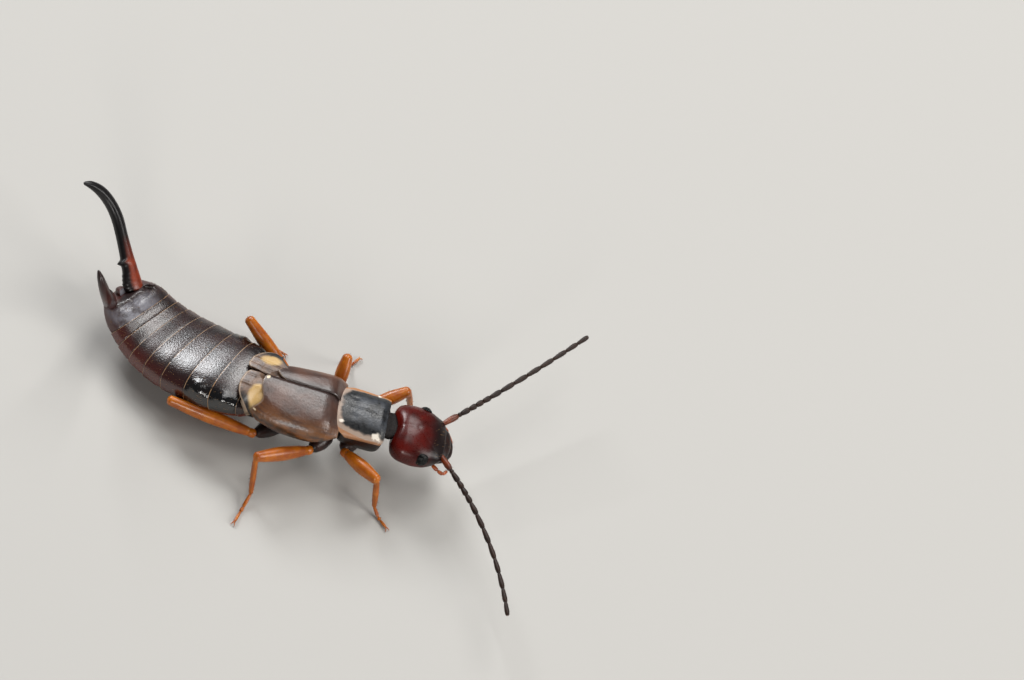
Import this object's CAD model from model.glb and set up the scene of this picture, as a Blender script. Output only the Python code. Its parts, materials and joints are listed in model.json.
"""Male common earwig at life size, standing on a pale floor with its tail curled up.

Sizes are in millimetres in the standing pose's own frame (+X forward, +Y the insect's left, +Z up)
and become metres about the model's origin only when a mesh is made.
"""
import json
import logging
from dataclasses import dataclass, field
from enum import Enum
from functools import lru_cache
from typing import Callable, Sequence

import bpy
import numpy as np
from mathutils import Matrix, Vector

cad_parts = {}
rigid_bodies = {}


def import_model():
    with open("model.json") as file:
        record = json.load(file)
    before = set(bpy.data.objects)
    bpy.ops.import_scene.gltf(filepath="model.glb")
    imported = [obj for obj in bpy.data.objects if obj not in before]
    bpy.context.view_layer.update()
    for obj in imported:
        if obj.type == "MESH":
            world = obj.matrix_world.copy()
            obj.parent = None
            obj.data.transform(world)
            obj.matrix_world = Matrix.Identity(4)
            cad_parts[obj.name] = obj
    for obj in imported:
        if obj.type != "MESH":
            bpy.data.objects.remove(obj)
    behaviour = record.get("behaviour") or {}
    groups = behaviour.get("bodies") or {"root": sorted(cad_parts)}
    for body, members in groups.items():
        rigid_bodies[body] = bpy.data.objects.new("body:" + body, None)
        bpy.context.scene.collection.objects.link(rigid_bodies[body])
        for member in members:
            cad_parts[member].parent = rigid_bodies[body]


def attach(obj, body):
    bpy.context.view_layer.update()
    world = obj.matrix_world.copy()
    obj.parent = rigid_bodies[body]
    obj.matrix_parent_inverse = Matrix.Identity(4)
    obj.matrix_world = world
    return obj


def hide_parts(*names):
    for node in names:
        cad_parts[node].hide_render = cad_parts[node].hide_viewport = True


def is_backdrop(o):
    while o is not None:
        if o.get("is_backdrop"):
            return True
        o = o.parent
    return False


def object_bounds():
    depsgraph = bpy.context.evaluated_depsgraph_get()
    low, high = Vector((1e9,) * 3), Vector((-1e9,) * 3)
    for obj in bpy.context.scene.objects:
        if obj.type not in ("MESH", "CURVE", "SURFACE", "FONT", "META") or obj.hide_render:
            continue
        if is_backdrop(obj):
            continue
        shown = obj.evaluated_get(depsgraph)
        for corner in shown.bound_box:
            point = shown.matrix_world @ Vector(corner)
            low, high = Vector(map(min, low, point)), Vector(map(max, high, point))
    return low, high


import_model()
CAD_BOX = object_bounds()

LOG = logging.getLogger("earwig")
MM = 0.001
ORIGIN = np.array((1.905562, -0.179502, 0.019030))
FLOOR_LEVEL = 0.019
SEAM_GAP = 0.012
NOWHERE = 9.0

Array = np.ndarray
Colour = tuple[float, float, float, float]
Point = tuple[float, float, float]
Look = bpy.types.Material
Mesh = bpy.types.Mesh
Piece = bpy.types.Object
Socket = bpy.types.NodeSocket
Tree = bpy.types.NodeTree


class Side(Enum):
    """The insect's own left and right."""

    LEFT = 1
    RIGHT = -1

    @property
    def word(self) -> str:
        """Lower-case name used in node names."""
        return self.name.lower()


# ---------------------------------------------------------------- mathematics of the body


def smooth(low: float, high: float, value: Array | float) -> Array | float:
    """Smooth step of a value between two limits.

    Args:
        low: value at which the step starts.
        high: value at which it ends.
        value: number or array.

    Returns:
        0 to 1, with level ends.
    """
    t = np.clip((np.asarray(value, float) - low) / (high - low), 0, 1)
    return t * t * (3 - 2 * t)


def blob(distance: Array, radius: float) -> Array:
    """Round bump that fades out over a radius.

    Args:
        distance: distance from the bump's centre.
        radius: its standard radius.

    Returns:
        1 at the centre, falling to 0.
    """
    return np.exp(-((distance / radius) ** 2))


def curve(knots: Sequence[float], values: Sequence[float]) -> Callable[[Array | float], Array]:
    """Smooth curve through knots with no overshoot.

    Args:
        knots: rising positions.
        values: value at each.

    Returns:
        A function of position.
    """
    x = np.asarray(knots, float)
    y = np.asarray(values, float)
    slopes = np.diff(y) / np.diff(x)
    inner = np.where(slopes[1:] * slopes[:-1] > 0, 2 * slopes[1:] * slopes[:-1] / (slopes[1:] + slopes[:-1] + 1e-12), 0)
    tangents = np.concatenate(([slopes[0]], inner, [slopes[-1]]))

    def at(position: Array | float) -> Array:
        """Reads the curve.

        Args:
            position: one position or many.

        Returns:
            The value at each.
        """
        p = np.clip(np.asarray(position, float), x[0], x[-1])
        i = np.clip(np.searchsorted(x, p, side="right") - 1, 0, len(x) - 2)
        width = x[i + 1] - x[i]
        t = (p - x[i]) / width
        return (
            (2 * t**3 - 3 * t**2 + 1) * y[i]
            + (t**3 - 2 * t**2 + t) * width * tangents[i]
            + (3 * t**2 - 2 * t**3) * y[i + 1]
            + (t**3 - t**2) * width * tangents[i + 1]
        )

    return at


def turn(axis: str, degrees: float) -> Array:
    """Rotation matrix about one axis.

    Args:
        axis: "x", "y" or "z".
        degrees: angle by the right-hand rule.

    Returns:
        A 3 by 3 matrix.
    """
    return np.array(Matrix.Rotation(np.radians(degrees), 3, axis.upper()))


@dataclass(frozen=True)
class BodyLine:
    """The line through the trunk: stations run back from the waist, and forward when negative."""

    waist_height: float = 2.2
    stance_pitch: float = 4.5
    thorax_pitch: float = -3.19
    bend_length: float = 7.2
    yaw: tuple[float, float, float, float] = (-18.41, -31.69, 13.57, -0.28)
    pitch: tuple[float, float, float, float] = (-19.89, -37.35, 52.76, 92.3)
    twist: float = -4.15
    waist_blend: float = 1.2
    steps: int = 48

    def turn_at(self, station: float) -> Array:
        """Turn of the body at a station.

        Args:
            station: millimetres behind the waist.

        Returns:
            A 3 by 3 matrix.
        """
        share = max(station, 0.0) / self.bend_length
        blend = float(np.clip(1 + station / self.waist_blend, 0, 1))
        powers = np.array((1, share, share**2, share**3))
        yaw = float(np.dot(self.yaw, powers)) * blend
        pitch = self.thorax_pitch + (float(np.dot(self.pitch, powers)) - self.thorax_pitch) * blend
        return turn("z", yaw) @ turn("y", pitch) @ turn("x", self.twist * share)

    @lru_cache(maxsize=4096)
    def frame(self, station: float) -> tuple[Array, Array]:
        """Turn and place of the body line at a station, in the standing pose.

        Args:
            station: millimetres behind the waist.

        Returns:
            The 3 by 3 turn and the point.
        """
        at = np.array((0.0, 0.0, self.waist_height))
        if station <= 0:
            at = at - station * (turn("y", self.thorax_pitch) @ np.array((1.0, 0.0, 0.0)))
        else:
            count = max(1, round(station / self.bend_length * self.steps))
            stride = station / count
            for i in range(count):
                at = at + stride * (self.turn_at(i * stride) @ np.array((-1.0, 0.0, 0.0)))
        stance = turn("y", self.stance_pitch)
        return stance @ self.turn_at(station), stance @ at

    def place(self, station: float, local: Array) -> Array:
        """Moves points of a section to their station.

        Args:
            station: millimetres behind the waist.
            local: points in the body line's frame.

        Returns:
            The points in the standing pose.
        """
        matrix, at = self.frame(round(float(station), 6))
        return local @ matrix.T + at


LINE = BodyLine()


def section(angles: Array, half: float, crest: float, keel: float, power: float | Array = 2.5) -> Array:
    """Cross-section of the trunk.

    Args:
        angles: angle of each point, 0 at the left side and 90 degrees at the top.
        half: half width.
        crest: height above the body line.
        keel: depth below it.
        power: 2 for an ellipse, more for squarer shoulders.

    Returns:
        Points with x = 0.
    """
    c, s = np.cos(angles), np.sin(angles)
    y = half * np.sign(c) * np.abs(c) ** (2 / power)
    z = np.where(s > 0, crest, keel) * np.sign(s) * np.abs(s) ** (2 / power)
    return np.stack((np.zeros_like(y), y, z), axis=-1)


def around(count: int) -> Array:
    """Angles round a section, starting and closing at the belly."""
    return np.linspace(-np.pi / 2, 1.5 * np.pi, count, endpoint=False)


def axis_frame(direction: Array) -> Array:
    """Frame with x along a direction and z as upright as it can be.

    Args:
        direction: any vector that isn't vertical.

    Returns:
        A 3 by 3 matrix with the axes as columns.
    """
    x = direction / np.linalg.norm(direction)
    y = np.cross((0.0, 0.0, 1.0), x)
    y = y / np.linalg.norm(y)
    return np.stack((x, y, np.cross(x, y)), axis=1)


def corner(places: Array, start: float, end: float, fullness: float = 0.98) -> Array:
    """How far an edge is cut back where it rounds a corner.

    Args:
        places: places across the edge.
        start: place where the corner starts.
        end: place where it ends.
        fullness: 1 for a whole quarter circle.

    Returns:
        0 before the corner, rising to nearly 1.
    """
    past = np.clip((places - start) / (end - start), 0, 1)
    return 1 - np.sqrt(1 - past**2 * fullness)


# ---------------------------------------------------------------- meshes


def put(name: str, data: bpy.types.ID) -> Piece:
    """Puts a mesh, a lamp or a camera into the scene, at the origin.

    Args:
        name: name of its object.
        data: what the object shows.

    Returns:
        The object.
    """
    thing = bpy.data.objects.new(name, data)
    bpy.context.scene.collection.objects.link(thing)
    return thing


def set_field(mesh: Mesh, name: str, values: Array, vector: bool = False) -> None:
    """Stores a number or a vector per point, for a material or a tree to read.

    Args:
        mesh: mesh it is stored on.
        name: attribute name.
        values: one per point; missing ones are 0.
        vector: whether they are vectors.
    """
    kind, key, width = ("FLOAT_VECTOR", "vector", 3) if vector else ("FLOAT", "value", 1)
    whole = np.zeros(len(mesh.vertices) * width, np.float32)
    flat = np.asarray(values, np.float32).reshape(-1)
    whole[: len(flat)] = flat
    mesh.attributes.new(name, kind, "POINT").data.foreach_set(key, whole)


class MeshPlan:
    """Collects closed shells, in millimetres, and makes one piece of them."""

    def __init__(self, name: str) -> None:
        """Starts an empty piece.

        Args:
            name: its name.
        """
        self.name = name
        self.faces: list[tuple[int, ...]] = []
        self.face_uvs: list[tuple[tuple[float, float], ...]] = []
        self.points: list[Array] = []
        self.lies: list[Array] = []
        self.coats: list[Array] = []
        self.skins: list[Array] = []
        self.count = 0

    def loft(
        self,
        rings: Array | Sequence[Array],
        coat: Array | Sequence[Array] | float = 0.0,
        v_span: tuple[float, float] = (0.0, 1.0),
        ladder: bool = False,
    ) -> "MeshPlan":
        """Adds a closed shell through rings of points.

        Args:
            rings: rings by points by 3.
            coat: density of the setae on it, one number or one per point.
            v_span: share of the piece's length at its first and last ring, for the UV map.
            ladder: closes the ends with rungs, for a ring that is an outer and an inner arc.

        Returns:
            The plan itself.
        """
        rings = np.asarray(rings)
        n, m, _ = rings.shape
        u = np.arange(m + 1) / m
        v = np.linspace(v_span[0], v_span[1], n)
        faces, uvs = [], []
        for r in range(n - 1):
            for i in range(m):
                j = (i + 1) % m
                faces.append((r * m + i, r * m + j, (r + 1) * m + j, (r + 1) * m + i))
                uvs.append(((u[i], v[r]), (u[i + 1], v[r]), (u[i + 1], v[r + 1]), (u[i], v[r + 1])))
        points = rings.reshape(-1, 3)
        lie = np.gradient(rings, axis=0).reshape(-1, 3)
        skin = np.stack(np.meshgrid(u[:m], v), axis=-1).reshape(-1, 2)
        for end in (0, n - 1):
            if ladder:
                for i in range(m // 2 - 1):
                    a, c = end * m + i, end * m + (m - 1 - i)
                    rung = (a, a + 1, c - 1, c) if end else (a, c, c - 1, a + 1)
                    faces.append(rung)
                    uvs.append(tuple((skin[k][0], v[end]) for k in rung))
                continue
            hub = len(points)
            points = np.vstack((points, rings[end].mean(axis=0)))
            lie = np.vstack((lie, lie[end * m]))
            skin = np.vstack((skin, (0.5, v[end])))
            for i in range(m):
                pair = (end * m + i, end * m + (i + 1) % m)
                faces.append((*(pair if end else pair[::-1]), hub))
                uvs.append(((u[i], v[end]), (u[i + 1], v[end]), ((u[i] + u[i + 1]) / 2, v[end])))
        if not self.faces_out(points, faces):
            faces = [face[::-1] for face in faces]
            uvs = [uv[::-1] for uv in uvs]
        self.faces += [tuple(self.count + i for i in face) for face in faces]
        self.face_uvs += uvs
        coats = np.zeros(len(points))
        coats[: n * m] = np.broadcast_to(np.asarray(coat, float), (n, m)).reshape(-1)
        for kept, part in zip((self.points, self.lies, self.coats, self.skins), (points, lie, coats, skin)):
            kept.append(part)
        self.count += len(points)
        return self

    @staticmethod
    def faces_out(points: Array, faces: Sequence[tuple[int, ...]]) -> bool:
        """Tells whether a closed shell's faces point outwards, by the sign of its volume.

        Args:
            points: its points.
            faces: point numbers of each face.

        Returns:
            True when they do.
        """
        fans = np.array([(face[0], face[k], face[k + 1]) for face in faces for k in range(1, len(face) - 1)])
        a, b, c = (points[fans[:, k]] for k in range(3))
        return bool(np.sum(a * np.cross(b, c)) >= 0)

    def mesh(self) -> Mesh:
        """Makes the bare mesh, in metres about the model's origin.

        Returns:
            The mesh with its UV map.
        """
        mesh = bpy.data.meshes.new(self.name)
        mesh.from_pydata(((np.vstack(self.points) - ORIGIN) * MM).tolist(), [], self.faces)
        flat = np.array([corner for face in self.face_uvs for corner in face], np.float32).reshape(-1)
        mesh.uv_layers.new(name="UVMap").data.foreach_set("uv", flat)
        return mesh

    def build(self, look: Look, node: str, slot: str) -> Piece:
        """Makes the piece and puts it on the frame.

        Args:
            look: its material.
            node: CAD node it stands for.
            slot: material slot of the record.

        Returns:
            The finished object, at the origin.
        """
        mesh = self.mesh()
        mesh.polygons.foreach_set("use_smooth", np.ones(len(self.faces), bool))
        lies, skins = np.vstack(self.lies), np.vstack(self.skins)
        set_field(mesh, "lie", lies / (np.linalg.norm(lies, axis=1, keepdims=True) + 1e-9), vector=True)
        set_field(mesh, "coat", np.concatenate(self.coats))
        set_field(mesh, "skin_uv", np.column_stack((skins, np.zeros(len(skins)))), vector=True)
        mesh.materials.append(look)
        mesh.update()
        return settle(put(self.name, mesh), [node], slot)


def settle(piece: Piece, nodes: Sequence[str], slot: str) -> Piece:
    """Rides a piece on the frame and reports it.

    Args:
        piece: finished mesh object.
        nodes: CAD nodes it stands for, if any.
        slot: material slot of the record.

    Returns:
        The same object.
    """
    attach(piece, "root")
    if nodes:
        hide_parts(*nodes)
    LOG.info("%s: %d faces", piece.name, len(piece.data.polygons))
    return piece


class Plate:
    """A thin closed plate made from its outer face."""

    ease: float = 0.3
    overhang: float = 0.25
    top_columns: int = 20

    def __init__(self, name: str, grid: Array, thickness: float) -> None:
        """Closes the plate.

        Args:
            name: piece name.
            grid: its outer face, rows by points by 3.
            thickness: how deep the hidden face lies under it.
        """
        normal = np.cross(np.gradient(grid, axis=1), np.gradient(grid, axis=0))
        normal = normal / (np.linalg.norm(normal, axis=-1, keepdims=True) + 1e-12)
        if np.mean(normal[:, : self.top_columns, 2]) < 0:
            normal = -normal
        inner = grid - normal * thickness
        middle = (grid + inner) / 2
        first = middle[:1] + (middle[:1] - middle[1:2]) * self.overhang
        last = middle[-1:] + (middle[-1:] - middle[-2:-1]) * self.overhang
        faces = [
            np.concatenate((
                first + (face[:1] - middle[:1]) * self.ease, face, last + (face[-1:] - middle[-1:]) * self.ease
            ))
            for face in (grid, inner)
        ]
        rings = np.concatenate((faces[0], faces[1][:, ::-1]), axis=1)
        self.plan = MeshPlan(name).loft(rings, ladder=True)

    @staticmethod
    def places(across: Array, along: Array) -> tuple[Array, Array]:
        """Places across and along at each point of one face, with its two eased ends."""
        across, along = np.meshgrid(across, np.concatenate(([0.0], along, [1.0])))
        return across, along

    def build(self, look: Look, node: str, slot: str, **fields: Array) -> Piece:
        """Makes the piece and stores its fields.

        Args:
            look: its material.
            node: CAD node it stands for.
            slot: material slot of the record.
            fields: a number at each point of one face, by name.

        Returns:
            The piece.
        """
        piece = self.plan.build(look, node, slot)
        for name, values in fields.items():
            set_field(piece.data, name, np.concatenate((values, values[:, ::-1]), axis=1))
        return piece


def scooped(rear: float, scoop: Point, q: Array) -> Array:
    """Station of a wing cover's rear edge across it.

    Args:
        rear: station of its ends.
        scoop: depth of the hollow in the edge, its place across and its radius.
        q: places across, 0 at the seam.

    Returns:
        A station for each place.
    """
    depth, place, radius = scoop
    return rear - depth * blob(q - place, radius)


# ---------------------------------------------------------------- finishes


MIX_A, MIX_B, MIX_OUT = 6, 7, 2
PIT_REACH = 0.28


def srgb(code: str) -> Colour:
    """Linear colour of an sRGB hex value such as "4e130d"."""
    parts = [int(code[i : i + 2], 16) / 255 for i in (0, 2, 4)]
    return (*(p / 12.92 if p <= 0.04045 else ((p + 0.055) / 1.055) ** 2.4 for p in parts), 1.0)


def add_node(
    tree: Tree, kind: str, inputs: dict[int | str, object] | None = None, out: int | str = 0, **settings: object
) -> Socket | None:
    """Adds a node with its settings, values and links.

    Args:
        tree: node tree it goes into.
        kind: Blender's type name for it.
        inputs: value, source or list of sources for each input, by name or number.
        out: the output that is wanted, by name or number.
        settings: properties of the node.

    Returns:
        That output, or nothing for a node that has none.
    """
    node = tree.nodes.new(kind)
    for key, value in settings.items():
        setattr(node, key, value)
    for key, value in (inputs or {}).items():
        sources = value if isinstance(value, list) else [value]
        for source in sources:
            if isinstance(source, Socket):
                tree.links.new(source, node.inputs[key])
            else:
                node.inputs[key].default_value = source
    return node.outputs[out] if node.outputs else None


class Reading(Enum):
    """What a mask reads at a point; from ACROSS on, the piece's own attributes of that name."""

    ROUND = "share of the way round the section, from the belly"
    LENGTH = "share of the piece's length"
    FROM_TOP = "0 at the top of the section and 1 at the belly"
    JOINT = "share of one segment's length"
    PATCHES = "soft patches"
    STREAKS = "streaks along a wing cover"
    ACROSS = "across"
    ALONG = "along"
    EDGE = "edge"
    SPOT = "spot"
    FOLD = "fold"


@dataclass(frozen=True)
class Mask:
    """Share of the surface that rises smoothly from one value of a reading to another."""

    reading: Reading
    none_at: float
    full_at: float
    top: float = 1.0
    patch_mm: float = 0.3
    detail: float = 3.0
    ragged: float = 0.0
    slant: float = 0.0
    speckled: bool = False
    straight: bool = False
    streak_counts: tuple[float, float] = (9.0, 2.2)

    def share(self, tree: Tree, place: Socket) -> Socket:
        """The mask as a share, with its reading made ragged, slanted or speckled first.

        Args:
            tree: the material's tree.
            place: each point's own coordinates.

        Returns:
            0 where there is none, up to the top share.
        """
        value = self.read(tree, place, self.reading)
        if self.ragged:
            shift = {0: self.read(tree, place, Reading.PATCHES), 1: self.ragged, 2: -self.ragged / 2}
            wobble = add_node(tree, "ShaderNodeMath", shift, operation="MULTIPLY_ADD")
            value = add_node(tree, "ShaderNodeMath", {0: value, 1: wobble}, operation="ADD")
        if self.slant:
            lean = {0: self.read(tree, place, Reading.LENGTH), 1: self.slant, 2: value}
            value = add_node(tree, "ShaderNodeMath", lean, operation="MULTIPLY_ADD")
        if self.speckled:
            specks = self.read(tree, place, Reading.PATCHES)
            value = add_node(tree, "ShaderNodeMath", {0: value, 1: specks}, operation="MULTIPLY")
        limits = {0: value, 1: self.none_at, 2: self.full_at, 3: 0.0, 4: self.top}
        kind = "LINEAR" if self.straight else "SMOOTHSTEP"
        return add_node(tree, "ShaderNodeMapRange", limits, interpolation_type=kind)

    def read(self, tree: Tree, place: Socket, reading: Reading) -> Socket:
        """Measures the surface.

        Args:
            tree: the material's tree.
            place: each point's own coordinates.
            reading: what to measure.

        Returns:
            The value at each point.
        """
        if reading is Reading.PATCHES:
            inputs = {"Vector": place, "Scale": 1 / (self.patch_mm * MM), "Detail": self.detail}
            return add_node(tree, "ShaderNodeTexNoise", inputs)
        if reading is Reading.STREAKS:
            lay = [
                add_node(tree, "ShaderNodeMath", {0: self.read(tree, place, way), 1: count}, operation="MULTIPLY")
                for way, count in zip((Reading.ACROSS, Reading.ALONG), self.streak_counts)
            ]
            lay = add_node(tree, "ShaderNodeCombineXYZ", {0: lay[0], 1: lay[1]})
            return add_node(tree, "ShaderNodeTexNoise", {"Vector": lay, "Scale": 1.0, "Detail": 4.0})
        if reading in (Reading.ROUND, Reading.LENGTH, Reading.FROM_TOP, Reading.JOINT):
            along = reading in (Reading.LENGTH, Reading.JOINT)
            uv = add_node(tree, "ShaderNodeUVMap", uv_map="UVMap")
            value = add_node(tree, "ShaderNodeSeparateXYZ", {0: uv}, out=1 if along else 0)
            if reading is Reading.JOINT:
                return add_node(tree, "ShaderNodeMath", {0: value}, operation="FRACT")
            if reading is Reading.FROM_TOP:
                value = add_node(tree, "ShaderNodeMath", {0: value, 1: 0.5}, operation="SUBTRACT")
                value = add_node(tree, "ShaderNodeMath", {0: value}, operation="ABSOLUTE")
                value = add_node(tree, "ShaderNodeMath", {0: value, 1: 2.0}, operation="MULTIPLY")
            return value
        return add_node(tree, "ShaderNodeAttribute", out="Fac", attribute_name=reading.value)


@dataclass(frozen=True)
class Layer:
    """A marking: one colour over the ones below, where all its masks hold."""

    colour: str
    masks: tuple[Mask, ...]

    def lay(self, tree: Tree, place: Socket, below: Socket) -> Socket:
        """Lays the colour over another.

        Args:
            tree: the material's tree.
            place: each point's own coordinates.
            below: colour so far.

        Returns:
            The colour with this marking.
        """
        share, *others = (mask.share(tree, place) for mask in self.masks)
        for other in others:
            share = add_node(tree, "ShaderNodeMath", {0: share, 1: other}, operation="MULTIPLY")
        inputs = {0: share, MIX_A: below, MIX_B: srgb(self.colour)}
        return add_node(tree, "ShaderNodeMix", inputs, out=MIX_OUT, data_type="RGBA")


class Relief(Enum):
    """What lies in the bump besides the grain."""

    GRAIN = "nothing"
    SHAGREEN = "small cells"
    CREASES = "leather creases"
    PITS = "scattered pits"
    FACETS = "rounded facets in place of the grain"


@dataclass(frozen=True)
class Cuticle:
    """Hardened insect skin: two mottled colours under a thin waxy gloss, with a fine grain."""

    name: str
    base: str
    shade: str
    roughness: float
    mottle_mm: float = 0.5
    grain_mm: float = 0.05
    grain_depth_mm: float = 0.004
    rough_spread: float = 0.06
    ior: float = 1.56
    coat: float = 0.0
    coat_roughness: float = 0.15
    translucency: float = 0.0
    relief: Relief = Relief.GRAIN
    relief_mm: float = 0.1
    layers: tuple[Layer, ...] = ()
    polished: Mask | None = None
    dulled: Mask | None = None

    def build(self) -> Look:
        """Makes the material.

        Returns:
            The material, ready for a slot.
        """
        material = bpy.data.materials.new(self.name)
        material.use_nodes = True
        tree = material.node_tree
        tree.nodes.clear()
        place = add_node(tree, "ShaderNodeTexCoord", out="Object")
        noises = {"Vector": place, "Scale": 1 / (self.mottle_mm * MM), "Detail": 4.0}
        mottle = add_node(tree, "ShaderNodeTexNoise", noises)
        spread = add_node(tree, "ShaderNodeMapRange", {0: mottle, 1: 0.35, 2: 0.65, 3: 0.0, 4: 1.0})
        colours = {0: spread, MIX_A: srgb(self.base), MIX_B: srgb(self.shade)}
        colour = add_node(tree, "ShaderNodeMix", colours, out=MIX_OUT, data_type="RGBA")
        for layer in self.layers:
            colour = layer.lay(tree, place, colour)
        noises = {"Vector": place, "Scale": 1 / (self.grain_mm * MM), "Detail": 3.0}
        grain = add_node(tree, "ShaderNodeTexNoise", noises)
        low, high = self.roughness - self.rough_spread, self.roughness + self.rough_spread
        rough = add_node(tree, "ShaderNodeMapRange", {0: grain, 1: 0.3, 2: 0.7, 3: low, 4: high})
        if self.polished:
            kept = {0: 1.0, 1: self.polished.share(tree, place)}
            kept = add_node(tree, "ShaderNodeMath", kept, operation="SUBTRACT")
            rough = add_node(tree, "ShaderNodeMath", {0: rough, 1: kept}, operation="MULTIPLY")
        if self.dulled:
            added = {0: rough, 1: self.dulled.share(tree, place)}
            rough = add_node(tree, "ShaderNodeMath", added, operation="ADD")
        height = {"Height": self.bump(tree, place, grain), "Distance": self.grain_depth_mm * MM, "Strength": 1.0}
        shader = add_node(
            tree,
            "ShaderNodeBsdfPrincipled",
            {
                "Base Color": colour,
                "Roughness": rough,
                "Normal": add_node(tree, "ShaderNodeBump", height),
                "IOR": self.ior,
                "Coat Weight": self.coat,
                "Coat Roughness": self.coat_roughness,
                "Subsurface Weight": self.translucency,
                "Subsurface Scale": 0.2 * MM,
            },
        )
        add_node(tree, "ShaderNodeOutputMaterial", {"Surface": shader}, is_active_output=True)
        return material

    def bump(self, tree: Tree, place: Socket, grain: Socket) -> Socket:
        """Height of the fine relief.

        Args:
            tree: the material's tree.
            place: each point's own coordinates.
            grain: height of the grain.

        Returns:
            The height.
        """
        if self.relief is Relief.GRAIN:
            return grain
        feature = "SMOOTH_F1" if self.relief is Relief.CREASES else "F1"
        inputs = {"Vector": place, "Scale": 1 / (self.relief_mm * MM)}
        cells = add_node(tree, "ShaderNodeTexVoronoi", inputs, feature=feature)
        if self.relief is Relief.FACETS:
            return add_node(tree, "ShaderNodeMath", {0: 1.0, 1: cells}, operation="SUBTRACT")
        if self.relief is Relief.PITS:
            limits = {0: cells, 1: 0.0, 2: PIT_REACH, 3: 0.0, 4: 1.0}
            cells = add_node(tree, "ShaderNodeMapRange", limits, interpolation_type="SMOOTHSTEP")
        return add_node(tree, "ShaderNodeMath", {0: grain, 1: cells}, operation="ADD")


@dataclass(frozen=True)
class FloorPaint:
    """Matt pale board: an even off-white that takes a soft shadow."""

    name: str = "matt_board"
    colour: str = "b3b1ad"
    roughness: float = 0.75
    grain_scale: float = 900.0
    grain_depth: float = 0.00002

    def build(self) -> Look:
        """Makes the material.

        Returns:
            The material, ready for a slot.
        """
        material = bpy.data.materials.new(self.name)
        material.use_nodes = True
        tree = material.node_tree
        tree.nodes.clear()
        place = add_node(tree, "ShaderNodeTexCoord", out="Object")
        grain = {"Vector": place, "Scale": self.grain_scale, "Detail": 2.0}
        height = {"Height": add_node(tree, "ShaderNodeTexNoise", grain), "Distance": self.grain_depth, "Strength": 0.3}
        bump = add_node(tree, "ShaderNodeBump", height)
        paint = {"Base Color": srgb(self.colour), "Roughness": self.roughness, "Normal": bump}
        add_node(tree, "ShaderNodeOutputMaterial", {"Surface": add_node(tree, "ShaderNodeBsdfPrincipled", paint)})
        return material


def back_plate(flank: str) -> tuple[Layer, ...]:
    """Markings of a back plate: its flanks redden, and its folds and front edge are black.

    Args:
        flank: hex colour of the flanks.

    Returns:
        The layers, lowest first.
    """
    return (
        Layer(flank, (Mask(Reading.FROM_TOP, 0.22, 0.5),)),
        Layer("080707", (Mask(Reading.FOLD, 0.0, 1.0, straight=True),)),
        Layer("080707", (Mask(Reading.LENGTH, 0.12, 0.0, 0.7),)),
    )


def graded(tip: str, start: float = 0.4, end: float = 0.65) -> tuple[Layer, ...]:
    """Marking that turns a piece to another colour between two shares of its length.

    Args:
        tip: hex colour at the end.
        start: share of the length where it starts.
        end: share where it is full.

    Returns:
        The one layer.
    """
    return (Layer(tip, (Mask(Reading.LENGTH, start, end),)),)


def pincer_layers(tip: str, start: float, end: float) -> tuple[Layer, ...]:
    """Markings of the forceps: rusty sides, black below, and another colour towards the tip.

    Args:
        tip: hex colour of the tip.
        start: share of the length where it starts.
        end: share where it is full.

    Returns:
        The layers, lowest first.
    """
    sides = (
        Layer("3a1109", (Mask(Reading.FROM_TOP, 0.22, 0.0, 0.75),)),
        Layer("0e0808", (Mask(Reading.FROM_TOP, 0.6, 0.76),)),
    )
    return sides + graded(tip, start, end)


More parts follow.
